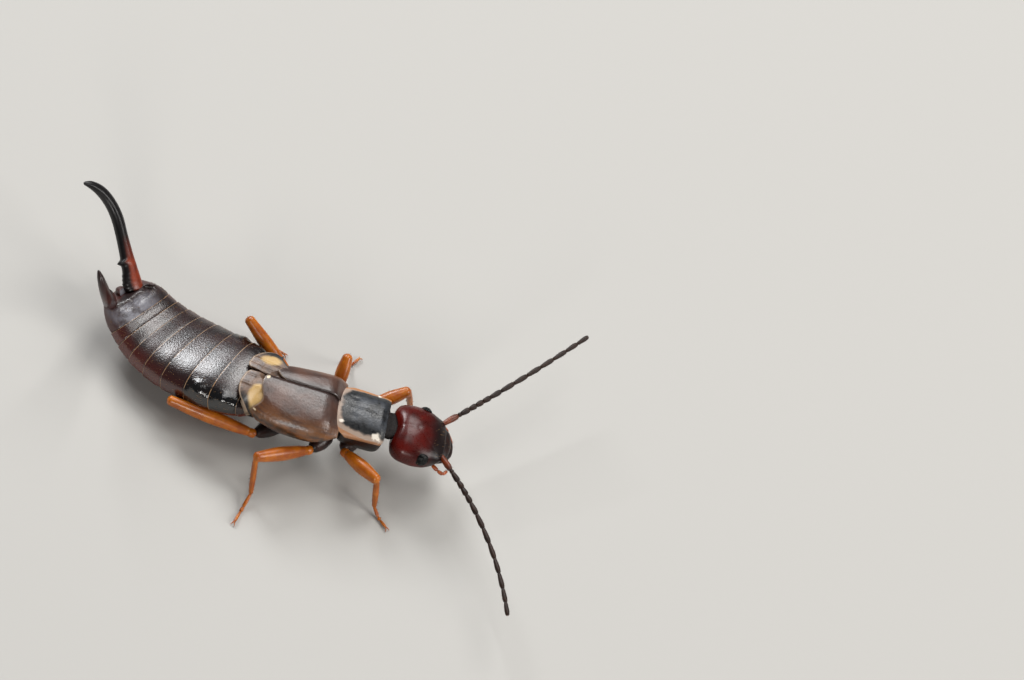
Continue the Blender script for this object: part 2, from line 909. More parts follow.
@dataclass
class Wardrobe:
    """Every finish of the insect, made once."""

    # Ring plates: a satin dark back with fine shagreen, red-brown sides, a pale soft rim behind.
    ring: Cuticle = Cuticle(
        "satin_ring_cuticle", "180d0d", "2c1513", 0.29, 0.6, 0.035, 0.004, ior=1.75,
        relief=Relief.SHAGREEN, relief_mm=0.06, polished=Mask(Reading.FOLD, 0.0, 1.0, 0.5, straight=True),
        layers=back_plate("561a10") + (
            Layer("b08a66", (Mask(Reading.LENGTH, 0.964, 0.98), Mask(Reading.PATCHES, 0.3, 0.5, 0.95, 0.25, 2.0))),
        ),
    )
    # Last back plate: the same under a thin, patchy, grey waxy bloom that leaves its left and rear dark.
    tail: Cuticle = Cuticle(
        "satin_tail_cuticle", "1a1010", "2a1818", 0.34, 0.35, 0.09, 0.005, ior=1.66,
        relief=Relief.SHAGREEN, relief_mm=0.06,
        layers=back_plate("40130d") + (
            Layer("8c8c95", (
                Mask(Reading.PATCHES, 0.28, 0.52, 0.6, 0.5),
                Mask(Reading.ROUND, 0.4, 0.52),
                Mask(Reading.ROUND, 0.7, 0.6, slant=-0.15),
                Mask(Reading.LENGTH, 0.8, 0.68),
            )),
        ),
    )
    # Far pincer: glossy red at the root, black past the middle.
    pincer: Cuticle = Cuticle(
        "red_pincer_cuticle", "822e0c", "5e1e0a", 0.36, 0.4, 0.06, 0.003, ior=1.46,
        layers=pincer_layers("080506", 0.2, 0.46),
    )
    # Near pincer: the same cuticle, seen shaded, so dark red-brown for most of its length.
    pincer_near: Cuticle = Cuticle(
        "dark_pincer_cuticle", "40150c", "260b07", 0.34, 0.4, 0.06, 0.003, ior=1.5,
        layers=pincer_layers("1c0a08", 0.6, 1.05),
    )
    # Neck shield: a slate-black disc, a thin see-through border, ragged pale patches at its corners.
    pronotum: Cuticle = Cuticle(
        "shield_cuticle", "0b0c0f", "363a41", 0.38, 0.3, 0.07, 0.010, rough_spread=0.12,
        layers=(
            Layer("050607", (Mask(Reading.EDGE, 0.5, 0.72, 0.8, ragged=0.22),)),
            Layer("b09a8a", (Mask(Reading.EDGE, 0.79, 0.9, 0.85, ragged=0.22),)),
            Layer("a8682c", (Mask(Reading.ACROSS, 0.7, 0.85), Mask(Reading.EDGE, 0.8, 0.9, ragged=0.22))),
            Layer("a8682c", (Mask(Reading.EDGE, 0.955, 0.99, 0.7),)),
            Layer("efe6d8", (Mask(Reading.SPOT, 0.28, 0.42, speckled=True),)),
        ),
    )
    # Side plates: dull black-brown, they only fill the shade under the shield and the covers.
    side: Cuticle = Cuticle("dark_side_cuticle", "0d0605", "25100a", 0.36, 0.3, 0.07, 0.010, ior=1.48)
    # Wing covers: creased brown leather, streaked with gold and blotched with olive towards the side,
    # dark along the seam, paler at the very edge, with a pale bead or two behind.
    cover: Cuticle = Cuticle(
        "leathery_cover_cuticle", "341f17", "523224", 0.36, 0.7, 0.05, 0.005, ior=1.68,
        relief=Relief.CREASES, relief_mm=0.09,
        layers=(
            Layer("78491d", (Mask(Reading.ACROSS, 0.24, 0.6), Mask(Reading.STREAKS, 0.32, 0.6, 0.95))),
            Layer("2c2013", (Mask(Reading.ACROSS, 0.5, 0.72), Mask(Reading.PATCHES, 0.4, 0.56, 0.92))),
            Layer("2c2013", (Mask(Reading.ACROSS, 0.74, 0.96, 0.6),)),
            Layer("2a1e1c", (Mask(Reading.ACROSS, 0.1, 0.0, 0.8),)),
            Layer("9c8470", (Mask(Reading.EDGE, 0.965, 0.995, 0.55),)),
            Layer("d6c3a4", (Mask(Reading.SPOT, 0.35, 0.6),)),
        ),
    )
    # Tips of the folded wings: grey-brown, with one large cream spot, dark outside, pale-hemmed.
    wing: Cuticle = Cuticle(
        "folded_wing_cuticle", "432e20", "6e5340", 0.38, 0.2, 0.05, 0.006,
        layers=(
            Layer("141010", (Mask(Reading.ACROSS, 0.62, 0.85),)),
            Layer("bd9b62", (Mask(Reading.SPOT, 0.25, 0.8, 1.0, 0.25, 2.0, 0.4),)),
            Layer("a89078", (Mask(Reading.ALONG, 0.95, 0.98, 0.6),)),
        ),
    )
    # Head capsule: polished mahogany red with scattered pits, blackish and duller in front.
    head: Cuticle = Cuticle(
        "mahogany_head_cuticle", "520c05", "360603", 0.3, 0.6, 0.05, 0.0018, ior=1.38,
        relief=Relief.PITS, dulled=Mask(Reading.LENGTH, 0.55, 0.85, 0.05),
        layers=(Layer("0f0808", (Mask(Reading.LENGTH, 0.5, 0.85, 0.95),)),),
    )
    # Compound eye: glossy black; facets finer than the picture can show lie on the modelled ones.
    eye: Cuticle = Cuticle(
        "facet_eye_cuticle", "020303", "050706", 0.2, 0.2, 0.05, 0.003, ior=1.38,
        relief=Relief.FACETS, relief_mm=0.024,
    )
    # Jaws: hard and nearly black. Palps and feeler roots: clear amber that deepens outwards.
    mouth: Cuticle = Cuticle("jaw_cuticle", "0e0605", "240c06", 0.42, 0.2, 0.04, 0.004, ior=1.42)
    palp: Cuticle = Cuticle("amber_palp_cuticle", "b0520c", "863406", 0.32, 0.2, layers=graded("8a3c0c"))
    scape: Cuticle = Cuticle(
        "amber_scape_cuticle", "74300c", "4c1c08", 0.36, 0.25, ior=1.46, layers=graded("3c1a0c", 0.5, 1.0)
    )
    # Feeler joints: dulled by down, with a pale ring of soft skin at each end.
    feeler: Cuticle = Cuticle(
        "downy_feeler_cuticle", "1c0f09", "2b180e", 0.5, 0.2, 0.03, 0.003, ior=1.36,
        layers=(
            Layer("9a7b60", (Mask(Reading.JOINT, 0.1, 0.0, 0.85),)),
            Layer("9a7b60", (Mask(Reading.JOINT, 0.93, 0.99, 0.85),)),
        ),
    )
    # Legs: amber cuticle that lets a little light through. Hips: dark, as the body beside them.
    leg: Cuticle = Cuticle(
        "amber_leg_cuticle", "b5650e", "904507", 0.34, 0.45, 0.06, 0.003, ior=1.47, coat=0.08, translucency=0.15
    )
    hip: Cuticle = Cuticle("dark_hip_cuticle", "110806", "2c1209", 0.36, 0.3, 0.06, 0.006, ior=1.46)
    # Neck: soft folded skin with no gloss. Bristles: plain hair, golden or brown.
    membrane: Cuticle = Cuticle("soft_neck_membrane", "0a0605", "1a0f0c", 0.6, 0.12, 0.06, 0.02, ior=1.33)
    seta: Cuticle = Cuticle("golden_seta", "80603c", "9c7850", 0.4, 0.3, 0.05, 0.0)
    dark_seta: Cuticle = Cuticle("brown_seta", "3c2414", "5a3a20", 0.4, 0.3, 0.05, 0.0)
    made: dict[str, Look] = field(default_factory=dict)

    def __call__(self, name: str) -> Look:
        """The material of that name, made on first use."""
        if name not in self.made:
            self.made[name] = getattr(self, name).build()
        return self.made[name]


# ---------------------------------------------------------------- abdomen and tail


@dataclass
class Abdomen:
    """Nine telescoping ring plates, each with a pale rear rim."""

    wardrobe: Wardrobe
    names: tuple[str, ...] = tuple(f"abdomen_ring_{i}" for i in range(1, 10))
    edges: tuple[float, ...] = (-0.87, -0.19, 0.2, 1.08, 1.95, 2.86, 3.63, 4.3, 4.86, 5.34)
    halves: tuple[float, ...] = (0.72, 0.98, 1.34, 1.59, 1.69, 1.71, 1.66, 1.58, 1.48, 1.38)
    crests: tuple[float, ...] = (0.2, 0.22, 0.44, 0.71, 0.75, 0.76, 0.74, 0.7, 0.66, 0.61)
    keels: tuple[float, ...] = (0.72, 0.78, 0.84, 0.84, 0.81, 0.81, 0.78, 0.74, 0.7, 0.65)
    points: int = 120
    profile_t: tuple[float, ...] = (
        -0.1, -0.03, 0.02, 0.08, 0.16, 0.3, 0.45, 0.6, 0.75, 0.87, 0.94, 0.975, 0.995, 1.0, 0.985
    )
    profile_m: tuple[float, ...] = (
        0.93, 0.962, 0.972, 0.982, 0.99, 0.998, 1.0, 1.001, 1.002, 1.004, 1.007, 1.008, 1.005, 0.995, 0.965
    )
    groove_angle: float = 26.0
    groove_depth: float = 0.03
    fold_rings: tuple[str, ...] = ("abdomen_ring_3", "abdomen_ring_4")
    fold_angle: float = 32.0
    fold_height: float = 0.13
    blackness: tuple[float, ...] = (0.9, 0.9, 1.0, 0.95, 0.5, 0.2, 0.0, 0.0, 0.0)

    def build(self) -> list[Piece]:
        """Makes the nine rings.

        Returns:
            The ring pieces, front to rear.
        """
        half_at = curve(self.edges, self.halves)
        crest_at = curve(self.edges, self.crests)
        keel_at = curve(self.edges, self.keels)
        pieces = []
        angles = around(self.points)
        for name, front, rear in zip(self.names, self.edges, self.edges[1:]):
            rings, folds, coats = [], [], []
            for t, m in zip(self.profile_t, self.profile_m):
                station = front + t * (rear - front)
                half = float(half_at(station)) * m
                local = section(angles, half, float(crest_at(station)) * m, float(keel_at(station)) * m)
                local, fold = self.shape(local, angles, t, name)
                rings.append(LINE.place(station, local))
                folds.append(fold)
                back = smooth(-0.3, 0.1, np.sin(angles))
                flank = 0.35 + 0.65 * (1 - np.sin(angles)).clip(0, 1)
                coats.append(back * smooth(0.05, 0.15, t) * (1 - smooth(0.85, 0.93, t)) * flank)
            plan = MeshPlan(name.replace("abdomen_ring", "ring_plate"))
            plan.loft(rings, coat=coats)
            piece = plan.build(self.wardrobe("ring"), name, "tergite")
            set_field(piece.data, "fold", np.array(folds))
            self.number_rim(piece)
            pieces.append(piece)
        return pieces

    def shape(self, local: Array, angles: Array, t: float, name: str) -> tuple[Array, Array]:
        """Adds the side groove between back and belly plates, and the two side folds.

        Args:
            local: points of the section.
            angles: their angles.
            t: share of the ring's length.
            name: the ring's node.

        Returns:
            The shaped points and the fold's share at each.
        """
        from_side = np.minimum(np.abs(angles), np.abs(angles - np.pi))
        below = np.sin(angles) < 0
        groove = blob(np.where(below, from_side - np.radians(self.groove_angle), NOWHERE), np.radians(6))
        scale = 1 - self.groove_depth * groove
        fold = np.zeros_like(angles)
        if name in self.fold_rings:
            lift = from_side * np.sign(np.sin(angles)) - np.radians(self.fold_angle)
            lift = np.where(np.sin(angles) > -0.2, lift, NOWHERE)
            fold = blob(lift, np.radians(16)) * blob(t - 0.5, 0.24) * np.where(np.cos(angles) > 0, 0.55, 1.0)
            crease = blob(lift - np.radians(19), np.radians(5)) * blob(t - 0.5, 0.3)
            scale = scale - 0.02 * crease
        size = np.linalg.norm(local, axis=1, keepdims=True)
        out = local / (size + 1e-9)
        shaped = local * scale[:, None] + out * (self.fold_height * fold * np.sin(np.pi * np.clip(t, 0, 1)))[:, None]
        black = self.blackness[self.names.index(name)] * (1 - smooth(np.radians(38), np.radians(60), from_side))
        black = black * (1 - smooth(np.radians(5), np.radians(30), np.where(below, from_side, 0.0)))
        return shaped, np.maximum(np.clip(fold * 1.6, 0, 1), black)

    def number_rim(self, piece: Piece) -> None:
        """Resets the UV map's v so that it counts the share of the ring's length, not its rows.

        Args:
            piece: one ring.
        """
        mesh = piece.data
        rows = len(self.profile_t)
        steps = np.arange(rows) / (rows - 1)
        along = np.array(self.profile_t)
        along[-2:] = 1.0, 1.02
        layer = mesh.uv_layers["UVMap"]
        flat = np.zeros(len(layer.data) * 2, np.float32)
        layer.data.foreach_get("uv", flat)
        flat[1::2] = np.interp(flat[1::2], steps, along)
        layer.data.foreach_set("uv", flat)


@dataclass
class Tail:
    """Last tergite, with its knobbed rear margin, and the pygidium under it."""

    wardrobe: Wardrobe
    front: float = 5.34
    rear: float = 6.24
    front_half: float = 1.37
    rear_half: float = 1.0
    crest: float = 0.61
    keel: float = 0.6
    lean: float = -0.2
    points: int = 120
    knobs: tuple[Point, ...] = (
        (0.88, 0.2, 0.1),
        (0.68, -0.14, 0.12),
        (0.36, 0.1, 0.14),
        (-0.02, 0.04, 0.07),
        (-0.28, 0.1, 0.11),
        (-0.56, 0.05, 0.09),
        (-0.8, 0.04, 0.12),
    )
    tucked: tuple[tuple[float, float], ...] = ((-0.08, 0.955), (-0.02, 0.975))
    closing: tuple[tuple[float, float], ...] = ((1.02, 0.985), (1.045, 0.94), (1.06, 0.86), (1.05, 0.7), (1.03, 0.45))
    pygidium_rows: tuple[tuple[float, float], ...] = (
        (-0.3, 0.9), (0.0, 1.0), (0.3, 1.02), (0.6, 0.97), (0.85, 0.86), (1.0, 0.68), (1.06, 0.4)
    )
    pygidium_length: float = 0.22
    pygidium_gap: float = 0.02
    pygidium_half: float = 0.18
    pygidium_crest: float = -0.02
    pygidium_keel: float = 0.34
    pygidium_lean: float = -0.24

    def build(self) -> list[Piece]:
        """Makes both plates.

        Returns:
            The two pieces.
        """
        angles = around(self.points)
        rings, coats = [], []
        for share, scale in (*self.tucked, *((float(s), 1.0) for s in np.linspace(0.03, 1.0, 22)), *self.closing):
            bend = min(max(share, 0), 1)
            tuck, scale = (scale, 1.0) if share < 0 else (1.0, scale)
            half = (self.front_half + (self.rear_half - self.front_half) * bend**2) * scale * tuck
            crest = self.crest * (1 - 0.25 * bend**2) * scale * tuck
            keel = self.keel * (1 - 0.2 * bend**2) * scale * tuck
            local = section(angles, half, crest, keel)
            local = self.knobbed(local, angles, bend, half)
            local[:, 1] = np.where(local[:, 1] < 0, 1 - 0.07 * bend**2, 1.0) * local[:, 1] + self.lean * bend**2
            rings.append(LINE.place(self.front + share * (self.rear - self.front), local))
            length = (1 - smooth(0.7, 0.95, share)) * smooth(0.0, 0.1, share)
            coats.append(smooth(-0.2, 0.2, np.sin(angles)) * length * 0.8)
        plan = MeshPlan("last_tergite_plate")
        plan.loft(rings, coat=coats)
        tergite = plan.build(self.wardrobe("tail"), "last_tergite", "tail_plate")
        return [tergite, self.build_pygidium(angles)]

    def knobbed(self, local: Array, angles: Array, bend: float, half: float) -> Array:
        """Adds the rear margin's knobs, the hollow between them and the middle furrow.

        Args:
            local: points of the section.
            angles: their angles.
            bend: share of the plate's length.
            half: half width there.

        Returns:
            The shaped points.
        """
        across = local[:, 1] / max(half, 1e-6)
        top = (np.sin(angles) > 0).astype(float)
        rise = np.zeros_like(across)
        for place, height, radius in self.knobs:
            rise += height * blob(across - place, radius) * blob(bend - 0.9, 0.16)
        rise -= 0.045 * blob(across, 0.1) * smooth(0.3, 0.7, bend) * (1 - smooth(0.75, 0.9, bend))
        rise -= 0.05 * blob(np.abs(across) - 0.5, 0.16) * blob(bend - 0.7, 0.14)
        crease = 0.77 + 0.05 * np.sin(across * 9) + 0.03 * np.sin(across * 21)
        rise -= 0.04 * blob(bend - crease, 0.04) * (1 - smooth(0.4, 0.6, np.abs(across + 0.05)))
        rise -= 0.03 * blob(bend - crease + 0.2, 0.05) * blob(across - 0.2, 0.25)
        rise += 0.005 * np.sin(across * 15 + bend * 9) * smooth(0.45, 0.8, bend)
        local[:, 2] += rise * top
        return local

    def build_pygidium(self, angles: Array) -> Piece:
        """Makes the small plate between the pincers' roots.

        Args:
            angles: angles round its section.

        Returns:
            The piece.
        """
        rings = []
        for share, scale in self.pygidium_rows:
            sizes = (self.pygidium_half * scale, self.pygidium_crest * scale, self.pygidium_keel * scale)
            local = section(angles[::3], *sizes)
            local[:, 1] += self.pygidium_lean
            rings.append(LINE.place(self.rear + self.pygidium_gap + self.pygidium_length * share, local))
        plan = MeshPlan("pygidium_plate").loft(rings, v_span=(0.0, 0.9))
        return plan.build(self.wardrobe("tail"), "pygidium", "tail_plate")


@dataclass
class Pincer:
    """One forceps arm: a broad toothed root, then a slim blade that curves to a point."""

    wardrobe: Wardrobe
    side: Side
    root: Point
    open_angle: float
    raise_angle: float
    roll: float
    length: float = 4.25
    look: str = "pincer"
    slim: float = 1.0
    rooted: float = 0.2
    seat_station: float = 6.255
    straight: float = 0.5
    root_angle: float = 20.0
    curl: float = 64.0
    curl_power: float = 1.3
    rows: int = 90
    points: int = 40
    outer: tuple[float, ...] = (0.27, 0.3, 0.28, 0.24, 0.23, 0.26, 0.26, 0.18, 0.08)
    thick: tuple[float, ...] = (0.26, 0.27, 0.25, 0.22, 0.21, 0.21, 0.19, 0.13, 0.06)
    inner: tuple[float, ...] = (0.4, 0.43, 0.35, 0.26, 0.21, 0.19, 0.15, 0.1, 0.06)
    knots: tuple[float, ...] = (0.0, 0.05, 0.14, 0.3, 0.45, 0.6, 0.8, 0.94, 1.0)
    teeth: tuple[Point, ...] = (
        (0.035, 0.06, 0.012),
        (0.068, 0.065, 0.012),
        (0.1, 0.06, 0.012),
        (0.13, 0.05, 0.012),
        (0.235, 0.2, 0.017),
    )

    def build(self) -> Piece:
        """Makes the arm.

        Returns:
            The piece.
        """
        s = self.side.value
        seat_turn, seat_at = LINE.frame(self.seat_station)
        seat_at = seat_at + seat_turn @ np.array(self.root)
        seat = seat_turn @ turn("x", self.roll) @ turn("y", self.raise_angle) @ turn("z", -s * self.open_angle)
        widths = [curve(self.knots, values) for values in (self.inner, self.outer, self.thick)]
        phi = np.linspace(0, 2 * np.pi, self.points, endpoint=False)
        at = np.array((self.rooted, 0.0, 0.0))
        rings = []
        shares = np.linspace(0, 1, self.rows + 1)
        for share in shares:
            bent = max(0.0, share - self.straight) / (1 - self.straight)
            angle = s * (self.root_angle - self.curl * bent**self.curl_power)
            heading = turn("z", -angle)
            if share > 0:
                at = at + heading @ np.array((-(self.length + self.rooted) / self.rows, 0.0, 0.0))
            inner, outer, thick = (float(w(share)) * self.slim for w in widths)
            inner += sum(height * float(blob(share - place, width)) for place, height, width in self.teeth)
            inwards = np.cos(phi)
            reach = np.where(inwards > 0, inner, outer) * inwards
            ring = np.stack((np.zeros_like(phi), -s * reach, thick * np.sin(phi)), axis=1)
            rings.append((ring @ heading.T + at) @ seat.T + seat_at)
        tip_dir = seat @ heading @ np.array((-0.05, 0.0, 0.0))
        middle = rings[-1].mean(axis=0)
        rings.append(middle + (rings[-1] - middle) * 0.45 + tip_dir)
        plan = MeshPlan(f"pincer_{self.side.word}").loft(rings)
        return plan.build(self.wardrobe(self.look), f"cercus_{self.side.word}", "pincer")


# ---------------------------------------------------------------- thorax and wings


@dataclass
class Thorax:
    """The dark blocks under the shield and the wing covers, and the neck."""

    wardrobe: Wardrobe
    points: int = 96
    neck_front: float = -5.06
    neck_rear: float = -4.5
    neck_lap: float = 0.16
    blocks: tuple[tuple[str, float, float, float, float, float, float], ...] = (
        ("prothorax", -4.7, -3.0, 0.98, 0.1, 0.98, 1.4),
        ("mesothorax", -3.08, -2.06, 0.94, 0.22, 0.96, 1.9),
        ("metathorax", -2.1, -0.84, 0.98, 0.22, 0.98, 2.3),
    )

    def build(self) -> list[Piece]:
        """Makes the four pieces.

        Returns:
            The pieces, front to rear.
        """
        return [*(self.block(*row) for row in self.blocks), self.neck()]

    def block(
        self, name: str, front: float, rear: float, half: float, crest: float, keel: float, lobes: float
    ) -> Piece:
        """Makes one block with rounded ends and the swellings that the hips grow from.

        Args:
            name: its node.
            front: station of its front.
            rear: station of its rear.
            half: half width.
            crest: height above the body line.
            keel: depth below it.
            lobes: number of swellings along it.

        Returns:
            The piece.
        """
        angles = around(self.points)
        rings = []
        shares = np.linspace(0, 1, 26)
        for share in shares:
            ends = (1 - (2 * share - 1) ** 8) ** 0.25 if 0 < share < 1 else 0.55
            local = section(angles, half * ends, crest * ends, keel * ends, 2.8)
            low = np.clip(-np.sin(angles), 0, 1)
            flank = np.abs(np.cos(angles))
            swell = 0.05 * np.sin(np.pi * lobes * share) * low * flank - 0.06 * blob(np.cos(angles), 0.12) * low
            local = local * (1 + swell)[:, None]
            rings.append(LINE.place(front + share * (rear - front), local))
        plan = MeshPlan(f"{name}_block").loft(rings)
        return plan.build(self.wardrobe("side"), name, "dark_side_plate")

    def neck(self) -> Piece:
        """Makes the neck, ringed by soft folds.

        Returns:
            The piece.
        """
        angles = around(self.points)
        front = self.neck_front - self.neck_lap
        rings = []
        for share in np.linspace(0, 1, 40):
            folds = 1 + 0.035 * np.sin(share * 5 * np.pi)
            half = (0.42 + 0.16 * share) * folds
            local = section(angles, half, (0.1 - 0.02 * share) * folds, (0.34 + 0.14 * share) * folds, 2.2)
            rings.append(LINE.place(front + share * (self.neck_rear - front), local))
        plan = MeshPlan("neck_folds").loft(rings)
        return plan.build(self.wardrobe("membrane"), "neck", "dark_side_plate")


@dataclass
class Pronotum:
    """Neck shield: a thin plate with a raised disc and turned-up side borders."""

    wardrobe: Wardrobe
    front: float = -4.63
    rear: float = -2.63
    front_half: float = 0.98
    rear_half: float = 1.05
    crest: float = 0.48
    edge_level: float = -0.04
    corner: float = 0.74
    near_rounding: float = 0.72
    thickness: float = 0.07
    rows: int = 60
    columns: int = 81

    def build(self) -> Piece:
        """Makes the shield.

        Returns:
            The piece.
        """
        u = np.linspace(-1, 1, self.columns)
        v = np.linspace(0, 1, self.rows)
        size = np.abs(u)
        rounding = np.where(u > 0, 1.0, self.near_rounding)
        rear = self.rear - rounding * corner(size, 1 - self.corner, 1.0, 0.985) - 0.05 * size**2
        front = self.front + 0.1 * corner(size, 0.86, 1.0, 0.985) + 0.02 * np.cos(size * np.pi)
        grid = np.zeros((self.rows, self.columns, 3))
        for row, share in enumerate(v):
            half = self.front_half + (self.rear_half - self.front_half) * share
            rise = self.height(size, share)
            for col, station in enumerate(front + share * (rear - front)):
                grid[row, col] = LINE.place(station, np.array((0.0, u[col] * half, rise[col])))
        shield = Plate("pronotum_shield", grid, self.thickness)
        marks = self.marks(*Plate.places(u, v))
        return shield.build(self.wardrobe("pronotum"), "pronotum", "pronotum", **marks)

    def height(self, size: Array, share: float) -> Array:
        """Height of the plate above the body line.

        Args:
            size: distance from the middle, 0 to 1.
            share: share of its length from the front.

        Returns:
            Heights for each point.
        """
        dome = (1 - np.clip(size, 0, 1) ** 2.6) ** 0.8
        disc = 1 - smooth(0.3, 0.9, size)
        ends = 1 - 0.1 * smooth(0.8, 1.0, share) - 0.14 * (1 - smooth(0.0, 0.12, share))
        level = self.edge_level + (self.crest - self.edge_level) * (0.55 * dome + 0.45 * np.sqrt(dome)) * ends
        level = level + 0.035 * disc * smooth(0.0, 0.4, share) * (1 - smooth(0.55, 0.9, share))
        furrow = 0.014 * blob(size, 0.03) * smooth(0.1, 0.25, share) * (1 - smooth(0.7, 0.85, share))
        dimples = 0.028 * blob(size - 0.36, 0.09) * blob(share - 0.62, 0.07)
        return level - furrow - dimples + 0.05 * smooth(0.86, 1.0, size)

    def marks(self, across: Array, along: Array) -> dict[str, Array]:
        """Finds the side and rear border and the pale patches.

        Args:
            across: place across at each point of the face.
            along: share of the length at each point.

        Returns:
            Nearness to the border, share of pale patch and place across, by field name.
        """
        edge = np.maximum(np.abs(across), 0.72 + (along - 0.74) * 1.2)
        edge = np.maximum(edge, np.hypot(np.abs(across), np.clip(along - 0.35, 0, 1) * 0.9))
        spot = blob(np.hypot(across + 0.86, (along - 0.14) / 0.9), 0.2)
        spot = np.maximum(spot, 0.75 * blob(np.hypot(across + 0.62, along - 0.84), 0.1))
        spot = np.maximum(spot, 0.8 * blob(np.hypot(across - 0.9, along - 0.3), 0.14))
        return {"edge": edge, "spot": spot, "across": across}


@dataclass
class WingCover:
    """One tegmen: a thin leathery shell from the seam over the back and down the side."""

    wardrobe: Wardrobe
    side: Side
    rear: float
    front: float = -3.04
    halves: tuple[float, ...] = (1.24, 1.48, 1.6, 1.58, 1.42, 1.28)
    half_knots: tuple[float, ...] = (0.0, 0.15, 0.4, 0.7, 0.92, 1.0)
    crests: tuple[float, ...] = (0.24, 0.46, 0.68, 0.76, 0.77, 0.76)
    crest_knots: tuple[float, ...] = (0.0, 0.09, 0.18, 0.3, 0.8, 1.0)
    wrap: float = 38.0
    thickness: float = 0.09
    seam: float = 0.08
    lift: float = 0.0
    inner_corner: float = 0.3
    outer_corner: float = 0.75
    scoop: Point = (0.26, 0.34, 0.2)
    beads: tuple[tuple[float, float], ...] = ()
    rows: int = 70
    columns: int = 61

    def build(self) -> Piece:
        """Makes the cover.

        Returns:
            The piece.
        """
        s = self.side.value
        q = np.linspace(0, 1, self.columns)
        angle = np.pi / 2 - q * (np.pi / 2 + np.radians(self.wrap))
        half_at, crest_at = curve(self.half_knots, self.halves), curve(self.crest_knots, self.crests)
        rear = scooped(self.rear, self.scoop, q) - self.outer_corner * corner(q, 0.58, 1.0)
        rear = rear - self.inner_corner * corner(q, 0.16, 0.0)
        front = self.front + 0.18 * np.clip((q - 0.6) / 0.4, 0, 1) ** 2
        v = np.linspace(0, 1, self.rows)
        grid = np.zeros((self.rows, self.columns, 3))
        for row, share in enumerate(v):
            crest = float(crest_at(share))
            profile = section(angle, float(half_at(share)), crest, crest)
            waves = 0.012 * np.sin(9 * share + 7 * q) * np.sin(5 * q * np.pi) + self.lift
            shoulder = 0.04 * blob(q - 0.62, 0.12) * (1 - 0.5 * share) - 0.03 * blob(q - 0.8, 0.1)
            for col in range(self.columns):
                point = profile[col] * (1 + shoulder[col] * 0.5)
                y = s * max(point[1], 0.0) + self.seam + s * SEAM_GAP
                station = front[col] + share * (rear[col] - front[col])
                grid[row, col] = LINE.place(station, np.array((0.0, y, point[2] + waves[col])))
        across, along = Plate.places(q, v)
        spot = np.zeros_like(across)
        for bead_across, bead_along in self.beads:
            away = np.hypot((across - bead_across) * 3.2, (along - bead_along) * 2.8)
            spot = np.maximum(spot, blob(away, 0.06))
        edge = np.maximum(across, np.abs(2 * along - 1))
        shell = Plate(f"wing_cover_shell_{self.side.word}", grid, self.thickness)
        marks = {"across": across, "along": along, "edge": edge, "spot": spot}
        return shell.build(self.wardrobe("cover"), f"wing_cover_{self.side.word}", "wing_cover", **marks)


def arch(place: float, half: float) -> float:
    """Height of a square-shouldered arch of some half width at a place across it, 1 in the middle."""
    return (1 - min(abs(place / half), 0.999) ** 2.5) ** 0.4


@dataclass
class FoldedWing:
    """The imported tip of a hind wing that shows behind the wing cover."""

    wardrobe: Wardrobe
    side: Side
    cover_rear: float
    rear: float
    spot_at: tuple[float, float]
    spot_size: tuple[float, float]
    spot_share: float = 0.95
    half: float = 1.4
    cover_half: float = 1.3
    scoop: Point = (0.26, 0.34, 0.2)
    cover_crest: float = 0.77
    cover_gap: float = 0.12
    arch_half: float = 1.62
    front: float = -1.3
    crest: float = 0.735
    seam: float = 0.08
    gape: float = 0.07
    outer_corner: float = 0.75
    inner_corner: float = 0.16
    thickness: float = 0.12
    rows: int = 60
    columns: int = 49

    def build(self) -> Piece:
        """Makes the pad.

        Returns:
            The piece.
        """
        s = self.side.value
        q = np.linspace(0, 1, self.columns)
        v = np.linspace(0, 1, self.rows)
        rear = self.rear - self.outer_corner * corner(q, 0.35, 1.0) - self.inner_corner * corner(q, 0.2, 0.0)
        hidden = scooped(self.cover_rear, self.scoop, q)
        grid = np.zeros((self.rows, self.columns, 3))
        spot = np.zeros((self.rows + 2, self.columns))
        for row, share in enumerate(v):
            for col in range(self.columns):
                station = self.front + share * (rear[col] - self.front)
                gap = self.gape * smooth(self.cover_rear, self.rear, station) * (1 - q[col]) ** 3
                half = self.half + (self.cover_half - self.cover_gap - self.half) * (1 - smooth(-0.9, 0.1, station))
                y = q[col] * half + gap
                fold = 0.02 * blob(q[col] - 0.45, 0.04) + 0.012 * blob(q[col] - 0.16, 0.03)
                height = self.crest * arch(y, self.arch_half) + float(fold)
                roof = self.cover_crest * arch(y, self.cover_half) - self.cover_gap
                under = 1 - smooth(hidden[col] - 0.06, hidden[col] + 0.2, station)
                height = height + (min(height, roof) - height) * under
                offs = ((p - at) / size for p, at, size in zip((station, y), self.spot_at, self.spot_size))
                spot[row + 1, col] = self.spot_share * (1 - smooth(0.3, 1.4, np.hypot(*offs)))
                grid[row, col] = LINE.place(station, np.array((0.0, s * y + self.seam + s * SEAM_GAP, height)))
        across, along = Plate.places(q, v)
        pad = Plate(f"folded_wing_{self.side.word}", grid, self.thickness)
        marks = {"across": across, "along": along, "spot": spot}
        return pad.build(self.wardrobe("wing"), f"wing_{self.side.word}", "folded_wing", **marks)


# ---------------------------------------------------------------- head


@dataclass(frozen=True)
class HeadFrame:
    """Where the head sits and how it is turned; x runs forward from its back."""

    at: Point = (5.26, 0.0, 2.0)
    yaw: float = 4.0
    pitch: float = 9.0

    @property
    def matrix(self) -> Array:
        """Turn of the head."""
        return turn("z", self.yaw) @ turn("y", self.pitch)

    def place(self, local: Array) -> Array:
        """Points of the head in the standing pose."""
        return np.asarray(local, float) @ self.matrix.T + np.array(self.at)


HEAD = HeadFrame()
HEAD_SHIFT = -0.05


